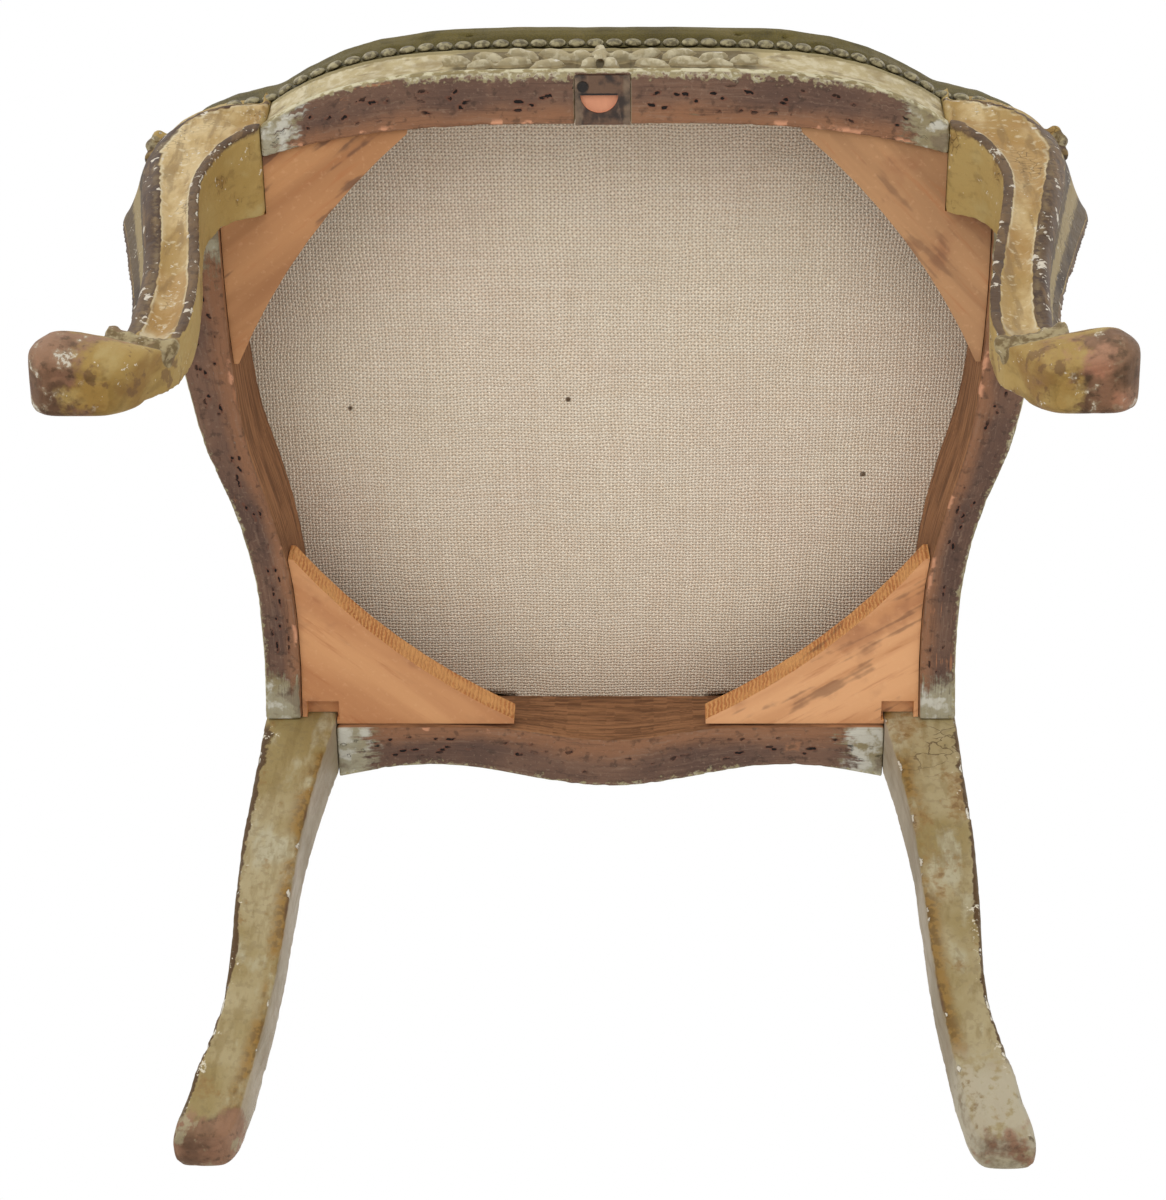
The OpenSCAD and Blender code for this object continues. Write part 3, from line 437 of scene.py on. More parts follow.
bare = Finish("rail_wood")
below, across, reach, pale_end, groove = map(bare.painted_on,
    ("below", "across", "reach", "pale_end", "groove"))
sharp, hollow, broken, carved, stands = map(bare.painted_on,
    ("sharp", "hollow", "broken", "carved", "stands"))
wide_cloud = bare.cloud(22, 5)
fine_cloud = bare.cloud(180, 4)
dust = bare.cloud(420, 3, shift=(3, 1, 2))
height = bare.coordinate("Z")
lengthwise = bare.node("CombineXYZ", None, {"X": reach * 26, "Y": across * 12, "Z": height * 300})
grain = bare.noise(lengthwise, 1, 6, 0.65)
fresh_spot = (bare.cloud(30, 5, shift=(7, 0, 0)) * grain).rise(0.350, 0.395)
fresh_edge = across.rise(0.86, 0.96) * bare.cloud(40, 6, shift=(2, 9, 0)).rise(0.58, 0.62)
spread = bare.node("CombineXYZ", None, {"X": reach * 88 + 1.1 * fine_cloud,
    "Y": across * 4.0 + 1.3 * wide_cloud})
holes = bare.cells(spread, 1, voronoi_dimensions="2D")
sparse = bare.cloud(48, 1, shift=(0, 5, 0)).rise(0.44, 0.52)
middle = abs(across - 0.52).rise(0.30, 0.18)
worm_hole = holes.rise(0.15, 0.10) * sparse * middle * below
old_wood = bare.layers((92, 70, 60),
    (wide_cloud.rise(0.35, 0.65), (116, 88, 72)),
    ((across + 0.6 * wide_cloud).rise(0.75, 1.20), (138, 98, 72)),
    (grain.rise(0.50, 0.72) * 0.55, (66, 50, 44)),
    (grain.rise(0.46, 0.30) * 0.50, (140, 116, 98)),
    (fine_cloud.rise(0.46, 0.32) * 0.5, (54, 42, 36)),
    (dust.rise(0.58, 0.70) * 0.25, (158, 134, 114)),
    (fresh_spot * 0.6, (176, 122, 88)),
    (fresh_edge * 0.9, (204, 148, 116)),
    (holes.rise(0.28, 0.16) * sparse * middle * 0.5, (112, 66, 48)),
    (worm_hole, (20, 13, 11)))
paint_left = (pale_end + grain.swing(1.5) + wide_cloud.swing(1.3)
    + fine_cloud.swing(0.9)).rise(0.34, 0.70)
scuff = bare.cloud(75, 6, shift=(1, 1, 7))
pale_paint = bare.layers((160, 154, 132),
    (wide_cloud.rise(0.4, 0.6), (140, 128, 96)),
    (scuff.rise(0.46, 0.36) * 0.65, (116, 100, 82)),
    (scuff.rise(0.50, 0.60) * 0.75, (204, 203, 193)),
    (grain.rise(0.54, 0.66) * 0.25, (104, 90, 72)))
place_x = bare.coordinate("X")
place_y = bare.coordinate("Y")
by_carving = place_y.rise(-0.200, -0.225) * abs(place_x).rise(0.15, 0.05)
rim_noise = fine_cloud.swing(0.45) + wide_cloud.swing(0.40) + dust.swing(0.45)
rim = (across - 0.08 * by_carving + rim_noise).rise(0.055, -0.055) * below
rim_paint = bare.mix(dust.rise(0.42, 0.60), (158, 148, 112), (212, 206, 178))
scar_x = 0.108
underside_width = 0.034
from_scar_x = abs(place_x - scar_x)
from_scar_middle = abs(across - 0.5) * underside_width
from_scar = from_scar_x.maths("MAXIMUM", from_scar_x, from_scar_middle) + fine_cloud.swing(0.007)
at_scar = below * place_y.rise(0.12, 0.13) * dust.rise(0.36, 0.50)
under_colour = bare.layers(old_wood,
    (paint_left, pale_paint),
    (rim * 0.85, rim_paint),
    (at_scar * from_scar.rise(0.0050, 0.0032) * 0.75, (150, 106, 78)),
    (at_scar * from_scar.rise(0.0030, 0.0014) * 0.8, (98, 74, 58)))
cream = bare.layers((184, 168, 128),
    (fine_cloud.rise(0.40, 0.66), (206, 194, 162)),
    (bare.cloud(60, 5, shift=(4, 4, 4)).rise(0.48, 0.68) * 0.50, (138, 118, 82)),
    (bare.cloud(38, 5, (1, 1, 3), (9, 2, 1)).rise(0.56, 0.66) * 0.6, (116, 98, 70)))
# Painted shade: the field of the carving between its leaves and petals is darkened where shade falls in the
# recesses.
recess = carved * (1 - stands.rise(0.10, 0.45)) * (0.55 + fine_cloud)
dark_line = (sharp + fine_cloud.swing(0.8)).rise(0.42, 0.66) * (1 - carved)
leaf_body = stands.rise(0.10, 0.45) * (0.55 + 0.45 * fine_cloud.rise(0.40, 0.60))
# Painted highlight: the most proud points of the carved leaves and petals are lightened where light would
# fall on them.
crown = stands.rise(0.55, 1.0) * (0.35 + 0.65 * fine_cloud.rise(0.46, 0.60))
at_bead = (height - rail_low).rise(rail_tall * 0.17, rail_tall * 0.11)
low_bead = at_bead * (fine_cloud + wide_cloud.swing(0.6)).rise(0.44, 0.56)
face_paint = bare.layers((136, 122, 84),
    (wide_cloud.rise(0.36, 0.66), (162, 148, 108)),
    (groove, cream),
    (recess.rise(0.20, 0.75) * 0.75, (84, 70, 46)),
    # Painted shade in the hollows of the mouldings, deeper in the hollows of the carving.
    ((hollow + fine_cloud.swing(0.4)).rise(0.25, 0.70) * (0.35 + 0.55 * carved), (78, 66, 42)),
    (dark_line * 0.75, (92, 76, 54)),
    (leaf_body * 0.9, (128, 112, 80)),
    (crown * 0.85, (206, 196, 166)),
    (low_bead * 0.85, (212, 204, 172)),
    ((broken * dust).rise(0.16, 0.34), (222, 216, 200)),
    (bare.painted_on("inner"), bare.mix(grain.rise(0.35, 0.65), (108, 74, 50), (164, 118, 82))))
rail_finish = bare.surface(bare.mix(below, face_paint, under_colour), 0.80 - 0.1 * paint_left,
    fine_cloud * 0.6 + grain * 0.6 + dust * 0.25 - 2.4 * worm_hole + 0.25 * paint_left, 0.0011,
    Specular_IOR_Level=0.25)

# Each rail has its carving, the axis it runs along, the axis across it, its outer side and a seed
old_rails = [("front_rail", flower, 0, 1, -1, 21.0), ("rear_rail", [], 0, 1, 1, 34.0),
    ("left_side_rail", [], 1, 0, -1, 47.0), ("right_side_rail", [], 1, 0, 1, 58.0)]
rail_voxel = 0.0013
end_fade = 0.030
end_reach = 0.036
side_front_reach = 0.044
side_rear_reach = 0.042
for node, carving, run, cross, outer, seed in old_rails:
    rail = in_one_skin(node + "_wood", [copied(node), *carving], rail_voxel)
    points, normals = aged(rail, seed)
    share = (points[:, 2] - rail_low) / rail_tall
    facing = normals[:, cross] * outer
    in_field = (share > 0.12) * (share < 0.72) * (facing > -0.3) * bool(carving)
    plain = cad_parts[node].data
    tree = BVHTree.FromPolygons([v.co for v in plain.vertices], [f.vertices for f in plain.polygons])
    lift = np.array([tree.find_nearest(p)[3] for p in points.tolist()]) if carving else np.zeros(len(points))
    if run == 0:
        end_x = front_in_x if outer < 0 else rear_in_x
        ends = unit((np.abs(points[:, 0]) - end_x + end_reach) / end_fade)
    else:
        ends = np.maximum(unit((front_post_back + side_front_reach - points[:, 1]) / end_fade),
            unit((points[:, 1] - rear_post_front + side_rear_reach) / end_fade))
    carry(rail.data, reach=points[:, run], pale_end=ends,
        across=across_of(points, (normals[:, 2] < -0.6) & (share < 0.03), run, cross, outer),
        below=unit((-normals[:, 2] - 0.5) / 0.3) * (share < 0.12),
        groove=unit((facing - 0.1) / 0.3) * ((share > 0.14) & (share < 0.72)),
        inner=unit((-facing - 0.3) / 0.3),
        carved=unit(5 - np.abs(points[:, 0]) / 0.018) * in_field,
        stands=unit((lift - 0.0004) / 0.0022) * (facing > -0.3))
    rail.data.materials.append(rail_finish)
    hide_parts(node)
    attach(rail, "root")

# Patch let into the underside of the front rail, of darker wood, with a half-round recess
# that shows fresh wood. It keeps its solid, with its edges taken off.
def dress(node, finish, width, segments=2):
    """Gives a solid its finish and takes its edges off."""
    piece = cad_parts[node]
    piece.data.materials.clear()
    piece.data.materials.append(finish)
    bevel = piece.modifiers.new("edges", "BEVEL")
    bevel.width = width
    bevel.segments = segments
    bevel.limit_method = "ANGLE"
    bevel.angle_limit = math.radians(35)


patch = Finish("patch_wood")
patch_cloud = patch.cloud(60, 4)
patch_fine = patch.cloud(300, 3, (1, 0.3, 1))
patch_low, patch_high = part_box("rail_patch")
patch_half = (patch_high.x - patch_low.x) / 2
depth_in = patch.coordinate("Z") - patch_low.z
sideways = abs(patch.coordinate("X") - (patch_low.x + patch_half))
fresh_floor = depth_in.rise(0.0012, 0.0018)
hole_place = (patch_low.x + 0.0042, patch_low.y + 0.0062, patch_low.z)
from_hole = patch.node("VectorMath", {"operation": "DISTANCE"}, {0: patch.place(), 1: hole_place}, 1)
nail_hole = from_hole.rise(0.0034, 0.0024)
pale_strip = (sideways + patch_fine.swing(0.003)).rise(patch_half - 0.0042, patch_half - 0.0028)
moon_off = 0.0017
moon_x = patch_low.x + patch_half - moon_off
slit_y = patch_low.y + 0.0106
from_moon = abs(patch.coordinate("X") - moon_x)
from_slit = abs(patch.coordinate("Y") - slit_y)
slit = (from_slit + patch_fine.swing(0.0006)).rise(0.0011, 0.0006) * from_moon.rise(0.0100, 0.0090)
patch_skin = patch.layers((46, 35, 30),
    (patch_cloud.rise(0.43, 0.57), (98, 73, 56)),
    (patch_fine.rise(0.55, 0.7) * 0.5, (128, 104, 86)),
    (pale_strip * patch_cloud.rise(0.35, 0.65) * 0.6, (132, 116, 96)),
    (slit, (22, 15, 12)),
    (nail_hole, (24, 17, 14)))
patch_floor = patch.mix(patch_fine, (196, 132, 102), (216, 152, 118))
patch_finish = patch.surface(patch.mix(fresh_floor, patch_skin, patch_floor), 0.75,
    patch_fine + patch_cloud - 3 * nail_hole, 0.0006)
dress("rail_patch", patch_finish, 0.0003)

# Corner blocks: four new pieces of peach-coloured softwood, sawn to a hollow diagonal and glued
# behind the posts, with pencil smears and saw marks left on them.
def block_finish(name, grain_turn, seed, pale_tone, deep_tone, smears):
    new = Finish(name)
    here = new.node("VectorRotate", {"rotation_type": "Z_AXIS"}, {"Vector": new.place(),
        "Angle": math.radians(grain_turn)})
    drawn = new.scaled(here, (0.10, 1, 0.3), (seed, seed, 0))
    grain = new.noise(drawn, 190, 6, 0.6)
    bands = new.node("TexNoise", None, {"Vector": drawn, "Scale": 46.0, "Detail": 3.0, "Distortion": 0.4})
    blot = new.cloud(24, 4, shift=(seed, 0, 0))
    upright = abs(new.coordinate("Z", new.node("NewGeometry", out="Normal")))
    cut_face = upright.rise(0.7, 0.4)
    teeth = new.node("TexWave", {"wave_type": "BANDS", "bands_direction": "X"},
        {"Vector": here, "Scale": 120.0, "Distortion": 5.0, "Detail": 3.0, "Detail Scale": 2.0})
    sawn = new.mix(teeth * grain.rise(0.35, 0.60), (222, 164, 104), (186, 116, 66))
    smear = new.noise(new.scaled(here, (0.12, 1.4, 1)), 120, 2)
    wood = new.layers(deep_tone,
        (bands.rise(0.34, 0.66), pale_tone),
        (grain.rise(0.55, 0.75) * 0.55, (168, 106, 66)),
        (blot.rise(0.54, 0.70) * 0.60, (150, 98, 68)),
        (new.cloud(300, 3).rise(0.56, 0.72) * 0.15, (226, 182, 140)),
        (cut_face, sawn),
        ((smear * blot).rise(0.30, 0.37) * smears, (96, 68, 54)))
    return new.surface(wood, 0.72, grain * 0.5 + teeth * cut_face * 0.8, 0.0006, Specular_IOR_Level=0.3)


for node, grain_turn, seed, pale_tone, deep_tone, smears in [
        ("front_left_block", 38, 1.0, (186, 136, 92), (160, 112, 74), 0.7),
        ("front_right_block", -48, 2.0, (182, 138, 98), (154, 114, 80), 0.4),
        ("rear_left_block", -40, 3.0, (204, 150, 104), (182, 126, 84), 0.1),
        ("rear_right_block", 32, 4.0, (218, 164, 118), (192, 136, 92), 0.5)]:
    dress(node, block_finish(node + "_wood", grain_turn, seed, pale_tone, deep_tone, smears), 0.0008)

# Front legs: cabriole legs cut from one piece with their posts, painted olive with a cream
# hollow between dark beads that run on from the rail, a knob at the knee and a leaf at the ankle.
front_post_y = front_edge_y + front_bow
knee_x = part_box("front_right_leg")[1].x
knob_x = 0.2470
knob_y = -0.2160
knob_z = rail_low + 0.036
ankle_z = 0.046
leg_voxel = 0.0012
foot_rack_mm = 6
# Share of the height, then in mm: in from the knee, behind the post, width of the front face,
# depth, slant of the side, radius of the corner, and lip of the inner arris
leg_stations_mm = [(0, 16, 2.5, 31, 29, 2, 5, 7), (0.045, 8, -3.5, 49, 38, 1, 9, 11),
    (0.085, 12.5, -3, 49, 37.5, 1, 9, 12), (0.133, 33, 7.5, 32, 28.5, 3, 5, 8),
    (0.20, 36.5, 16, 27.5, 24.5, 5.5, 3, 1.5), (0.30, 35, 18, 28, 24.5, 7, 3, 0),
    (0.50, 28, 15.5, 26.5, 27, 9.5, 3, 0), (0.72, 14, 8, 27.5, 35.5, 12.5, 5, 0),
    (0.84, 6, 6.5, 31.5, 39, 14.5, 11, 0), (0.94, 0, 3, 44, 44, 16, 21, 0),
    (1, 1.67, 0, 56.33, 50, 16, 27, 0)]


def along(stations, t, column):
    """A smooth curve through a column of a list of stations."""
    last = len(stations) - 1
    i = max(k for k in range(last) if k == 0 or t >= stations[k][0])

    def slope(k):
        a, b = stations[max(k - 1, 0)], stations[min(k + 1, last)]
        return (b[column] - a[column]) / (b[0] - a[0])

    step = stations[i + 1][0] - stations[i][0]
    u = (t - stations[i][0]) / step
    v = 1 - u
    return (stations[i][column] * (1 + 2 * u) * v * v + stations[i + 1][column] * (3 - 2 * u) * u * u
        + step * slope(i) * u * v * v - step * slope(i + 1) * u * u * v)


def leg_outline(z, rack):
    """Plan outline of a front leg at a height, with the distance from each outer arris in mm.

    The points run over the front face, the corner, the side, the rear and the inner face."""
    share = min(1.0, z / rail_low)
    measures = [along(leg_stations_mm, share, column) for column in range(1, 8)]
    from_knee, behind_post, face, deep, slant, radius, lip = measures
    rear_x = knee_x * 1000 - from_knee + rack * (1 - share) ** 1.5
    front_y = front_post_y * 1000 + behind_post
    corner_x = rear_x - slant
    inner_x = corner_x - face
    rear_y = front_y + deep
    radius += 18 * max(0.0, (z - rail_low) / rail_tall)
    a, b, c, d = map(np.array, ((inner_x, front_y + lip), (corner_x, front_y), (rear_x, rear_y),
        (inner_x + 1.2 * (1 - share), rear_y)))
    start = b + (a - b) * min(0.95, radius / np.linalg.norm(b - a))
    stop = b + (c - b) * min(0.95, radius / np.linalg.norm(c - b))
    front_steps = 26
    corner_steps = 12
    points = [a + (start - a) * k / front_steps for k in range(front_steps)]
    for k in range(corner_steps):
        t = k / corner_steps
        points.append(start * (1 - t) ** 2 + 2 * b * t * (1 - t) + stop * t * t)
    points += [stop + (c - stop) * k / 20 for k in range(21)]
    outer = len(points)
    points += [c + (d - c) * k / 9 for k in range(1, 10)]
    points += [d + (a - d) * k / 12 for k in range(1, 12)]
    points = np.array(points)
    steps = np.linalg.norm(np.diff(points[:outer], axis=0), axis=1)
    inward = np.roll(points, -1, 0) - np.roll(points, 1, 0)
    inward = np.stack([-inward[:, 1], inward[:, 0]], 1) / np.linalg.norm(inward, axis=1)[:, None]
    from_inner = np.concatenate([[0], np.cumsum(steps)])
    return points, inward, outer, from_inner, from_inner[front_steps + corner_steps // 2]


def to_line(a, z, line):
    """Distance of points on the unrolled face from a drawn line."""
    here = np.stack([a, z], 1)
    best = np.full(len(a), np.inf)
    for p, q in zip(line[:-1], line[1:]):
        p, q = np.array(p), np.array(q)
        t = unit(((here - p) @ (q - p)) / max((q - p) @ (q - p), 1e-9))
        best = np.minimum(best, np.linalg.norm(here - p - t[:, None] * (q - p), axis=1))
    return best


def round_foot(leg, top=0.032, rounds=50):
    """Wears the arrises of a foot round; the middle of its sole stays flat on the floor."""
    points = points_of(leg.data)
    edges = edges_of(leg.data)
    share = unit((top - points[:, 2]) / 0.012)[:, None]
    for _ in range(rounds):
        points += share * (smoothed(points, edges, 0.5) - points)
    move_to(leg.data, points)


def front_leg(name, side, rack, seed):
    """A front leg made from its outlines, with its hollows cut in and its carving joined on.

    Its faces are drawn in mm: along the outline from either arris, and upwards."""
    heights = np.concatenate([np.linspace(0, rail_low * 0.94, 120),
        np.linspace(rail_low * 0.943, rail_low, 14), np.linspace(rail_low + 0.0008, rail_high, 52)])
    rings = [leg_outline(z, rack) for z in heights]
    outer = rings[0][2]
    corner = [(ring[4], z * 1000) for ring, z in zip(rings, heights)]
    low_mm = rail_low * 1000
    turn_mm = low_mm + 12
    corner_line = [p for p in corner if 30 < p[1] < turn_mm]
    total = np.array([ring[3][-1] for ring in rings])
    curl_mm = (low_mm + 30, low_mm + 41, low_mm + 50.5, low_mm + 50.5)
    front_line = corner_line + list(zip((36, 15, 0, -12), curl_mm))
    around = len(rings[0][0])
    from_inner = np.array([ring[3] for ring in rings])
    z = np.repeat(heights[:, None] * 1000, outer, 1)
    from_rear = total[:, None] - from_inner
    side_line = [(t - p[0], p[1]) for p, t in zip(corner, total) if 30 < p[1] < turn_mm]
    side_reach = side_line[-1][0]
    side_line += list(zip((0.55 * side_reach, 0.25 * side_reach, 0, -12), curl_mm))
    above = np.maximum(z - low_mm, 0)
    bead_width = 5.5 + 3.1 * unit((z - low_mm + 25) / 25)
    ridge_width = 7.0 - 3.0 * unit((z - low_mm + 70) / 70) - 2.0 * unit((z - low_mm - 18) / 20)

    def hollowed(from_edge, line, bead, deep, deeper):
        """A face between its bead and its ridge: where and how deep it is hollowed, and its end."""
        near_line = to_line(from_edge.ravel(), z.ravel(), line).reshape(z.shape)
        end = np.interp(z, *np.array(sorted((p[1], p[0]) for p in line[:-1])).T)
        past_bead = np.hypot(from_edge, above) - bead
        past_ridge = near_line - ridge_width
        inside = (from_edge < end) & (past_bead > 0) & (past_ridge > 0)
        beyond = (from_edge > end) & (past_ridge > 0)
        curve = np.sin(np.pi * unit(past_bead / np.maximum(past_bead + past_ridge, 1e-6)))
        full = deep + deeper * unit(above / 20) * unit(1 - from_edge / 30)
        return inside, beyond, curve, inside * full * curve ** 0.6, near_line, end

    on_front, past_front, _, front_depth, near_front, front_end = hollowed(from_inner, front_line,
        bead_width, 3.2, 3.3)
    on_side, past_side, side_curve, side_depth, _, _ = hollowed(from_rear, side_line,
        bead_width - 1.5 * (above == 0), 2.4, 4.1)
    fade = unit((z / low_mm - 0.13) / 0.12)
    knee_top = past_front & past_side
    knee_sunk = 2.2
    depth = fade * (front_depth + side_depth) + knee_top * knee_sunk
    step_line = (unit(1 - np.abs(near_front - 0.62 * ridge_width) / 0.9)
        * (from_inner < front_end) * (z < low_mm))
    depth += 0.6 * fade * step_line
    top_share = (z - low_mm) / (rail_tall * 1000)
    flat_from = 0.60
    rebate_from = 0.80
    rebate_deep = 6.5
    flat = 3.6 * unit((top_share - flat_from) / 0.12)
    depth = np.where(top_share > flat_from, np.maximum(depth, flat), depth)
    depth = np.where(top_share > rebate_from, rebate_deep, depth)
    points = []
    for i, (outline, inward, _, _, _) in enumerate(rings):
        pushed = outline.copy()
        pushed[:outer] += inward[:outer] * depth[i][:, None]
        points += [(side * x / 1000, y / 1000, heights[i]) for x, y in pushed]
    count = len(rings)
    marks = np.zeros((5, count, around))
    marks[:, :, :outer] = fade * np.array([on_front,
        (1 - on_front) * (1 - on_side) * (1 - knee_top) * (top_share < rebate_from),
        on_side * (0.3 + 0.7 * side_curve), from_inner < bead_width, step_line])
    marks = marks.reshape(5, -1).T
    faces = []
    for i in range(count - 1):
        for k in range(around):
            n = (k + 1) % around
            faces.append((i * around + k, i * around + n, (i + 1) * around + n, (i + 1) * around + k)[::side])
    faces.append(tuple(range(around))[::-side])
    faces.append(tuple((count - 1) * around + k for k in range(around))[::side])
    mesh = bpy.data.meshes.new(name)
    mesh.from_pydata(points, [], faces)
    knob = Vector((side * knob_x, knob_y, knob_z))
    extras = [flattened_ball(knob, (0.0040, 0.0040, 0.0054)),
        flattened_ball(knob + Vector((-side * 0.0035, -0.004, 0.0035)), (0.0042, 0.0038, 0.0036)),
        flattened_ball(knob + Vector((side * 0.001, 0.005, -0.007)), (0.0028, 0.0040, 0.0044))]
    ankle = leg_outline(ankle_z, rack)[0]
    for place, lift, wide, thick, tall in [(1, 0.0435, 0.0050, 0.0040, 0.0065),
            (8, 0.0415, 0.0055, 0.0036, 0.0060), (15, 0.0410, 0.0055, 0.0036, 0.0060),
            (22, 0.0430, 0.0055, 0.0038, 0.0065), (30, 0.0460, 0.0045, 0.0040, 0.0080)]:
        x, y = ankle[place] / 1000
        extras.append(leaf((side * x, y - 0.0006, lift), (tall, thick + 0.0010, wide), math.pi / 2))
    leg = in_one_skin(name, [mesh, *extras], leg_voxel)
    round_foot(leg)
    whole, _ = aged(leg, seed, melt=2, chip=0.0011)
    tree = BVHTree.FromPolygons(points, faces)
    nearest = np.array([tree.find_nearest(p)[2] for p in whole.tolist()])
    start = np.array([[f[0] for f in faces], [f[2] for f in faces]])
    found = (marks[start[0][nearest]] + marks[start[1][nearest]]) / 2
    edges = edges_of(leg.data)
    lobes = np.array([(side * ankle[k][0] / 1000, ankle[k][1] / 1000, 0.0425) for k in (3, 10, 17, 24)])
    gap = np.minimum(np.linalg.norm(whole[:, None] - lobes, axis=2).min(1),
        np.linalg.norm(whole - np.array(knob), axis=1) + 0.003)
    foot_rings = 30
    spans = [(ring[0][:, 0].min(), np.ptp(ring[0][:, 0])) for ring in rings[:foot_rings]]
    low_x, width = (np.interp(whole[:, 2], heights[:foot_rings], column) for column in zip(*spans))
    carry(leg.data, leafy=unit((0.0105 - gap) / 0.003),
        toe=(side * whole[:, 0] * 1000 - low_x) / width)
    for column, mark in enumerate(("groove", "ridge", "side_hollow", "bead", "stepped")):
        values = found[:, column:column + 1]
        for _ in range(2):
            values = smoothed(values, edges, 0.5)
        carry(leg.data, **{mark: values[:, 0]})
    return leg


paint = Finish("aged_paint")
groove, ridge, side_hollow, bead, stepped = map(paint.painted_on,
    ("groove", "ridge", "side_hollow", "bead", "stepped"))
leafy, toe, sharp, hollow, broken = map(paint.painted_on, ("leafy", "toe", "sharp", "hollow", "broken"))
height = paint.coordinate("Z")
wide_cloud = paint.cloud(16, 5)
patchy = paint.cloud(48, 5, (1, 1, 0.45))
brushed = paint.cloud(150, 4, (1, 1, 0.16))
fine_cloud = paint.cloud(210, 4)
dust = paint.cloud(520, 3, shift=(3, 1, 2))
crazing = paint.cells(paint.place((1, 1, 1.6)), 190, feature="DISTANCE_TO_EDGE")
crack = crazing.rise(0.035, 0.010) * patchy.rise(0.52, 0.62) * (height - 0.05).rise(0.0, 0.02)
olive = paint.layers((162, 134, 76),
    (wide_cloud.rise(0.36, 0.64), (174, 148, 92)),
    (patchy.rise(0.52, 0.68) * 0.7, (134, 100, 54)),
    (patchy.rise(0.46, 0.32) * 0.5, (182, 164, 114)),
    (brushed.rise(0.55, 0.70) * 0.35, (112, 88, 52)))
groove_edge = groove.rise(0.35, 0.60) * groove.rise(1.0, 0.75)
cream = paint.layers((166, 136, 82),
    (patchy.rise(0.38, 0.60), (204, 180, 134)),
    (wide_cloud.rise(0.48, 0.62) * 0.7, (160, 122, 66)),
    (brushed.rise(0.50, 0.64) * 0.55, (126, 100, 62)),
    (fine_cloud.rise(0.56, 0.70) * 0.5, (222, 208, 176)),
    (groove_edge * patchy.rise(0.36, 0.56) * 0.8, (206, 192, 158)))
dark = paint.layers((70, 50, 34),
    (wide_cloud.rise(0.38, 0.62), (92, 72, 52)),
    (bead * 0.8, paint.mix(patchy.rise(0.38, 0.60), (84, 64, 46), (112, 90, 66))),
    (brushed.rise(0.50, 0.64) * 0.6, (124, 98, 66)),
    (fine_cloud.rise(0.48, 0.34) * 0.5, (52, 38, 28)),
    (stepped * fine_cloud.rise(0.40, 0.55) * 0.8, (158, 138, 100)))
stripe = (side_hollow + fine_cloud.swing(0.35)).rise(0.80, 0.94)
side_paint = paint.layers((64, 50, 34),
    (patchy.rise(0.42, 0.60), (94, 78, 56)),
    (stripe, paint.mix(patchy, (124, 104, 64), (172, 154, 114))))
edge_noise = fine_cloud.swing(0.22) + patchy.swing(0.25)
leaf_paint = paint.mix(fine_cloud.rise(0.42, 0.60), (92, 78, 56), (166, 154, 122))
foot = (0.034 + wide_cloud.swing(0.050) + patchy.swing(0.050) - height).rise(0.0, 0.010)
toe_edge = toe + wide_cloud.swing(1.0) + patchy.swing(1.3) + fine_cloud.swing(0.5)
bare_toe = foot * toe_edge.rise(0.22, 0.50)
fleck = paint.cloud(95, 5, shift=(2, 6, 4)).rise(0.56, 0.62) * (0.07 - height).rise(0.0, 0.02)
flakes = paint.cloud(130, 6, (1, 1, 0.6), (1, 8, 0))
foot_wood = paint.layers((108, 80, 64),
    (patchy.rise(0.40, 0.60), (146, 112, 90)),
    (fine_cloud.rise(0.52, 0.66) * 0.7, (76, 58, 48)),
    (flakes.rise(0.54, 0.62) * 0.5, (164, 148, 124)),
    (flakes.rise(0.60, 0.64) * dust.rise(0.42, 0.50), (206, 200, 186)),
    (paint.cloud(46, 5, shift=(6, 3, 0)).rise(0.54, 0.64) * 0.65, (188, 140, 114)))
rubbed = (sharp * 0.55 + patchy.swing(0.9)).rise(0.42, 0.60)
chips = (broken + sharp * 0.3 + dust.swing(0.9)).rise(0.48, 0.58)
loose_spot = paint.cloud(120, 3, shift=(8, 1, 3)).rise(0.635, 0.665)
loose_paint = (ridge + 0.2 * groove_edge).rise(0.10, 0.5) * loose_spot
specks = (dust * flakes).rise(0.385, 0.41)
coat = paint.layers(olive,
    (side_hollow.rise(0.15, 0.30), side_paint),
    ((groove + edge_noise).rise(0.40, 0.60), cream),
    ((ridge + edge_noise).rise(0.40, 0.60), dark),
    # Painted shade in the hollows of the legs.
    ((hollow + fine_cloud.swing(0.5)).rise(0.35, 0.75) * 0.6, (92, 72, 42)),
    (crack * 0.55, (86, 66, 42)),
    ((leafy + patchy.swing(0.9)).rise(0.40, 0.75) * 0.8, leaf_paint),
    (fleck * 0.7, (112, 84, 58)),
    (bare_toe * 0.92, foot_wood),
    (rubbed * (1 - ridge) * 0.7, (112, 82, 60)),
    (chips, (218, 210, 192)),
    (loose_paint, paint.mix(dust, (176, 164, 146), (228, 220, 204))),
    (specks * 0.85, (212, 204, 186)))
paint_finish = paint.surface(coat, 0.55 + 0.25 * fine_cloud,
    fine_cloud * 0.6 + patchy * 0.9 + brushed * 0.5 - 0.8 * chips - 0.5 * crack, 0.0010,
    Specular_IOR_Level=0.25)

for node, side, rack, seed in [("front_left_leg", -1, foot_rack_mm, 71.0),
        ("front_right_leg", 1, -foot_rack_mm, 83.0)]:
    leg = front_leg(node + "_wood", side, rack, seed)
    leg.data.materials.append(paint_finish)
    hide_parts(node)
    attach(leg, "root")

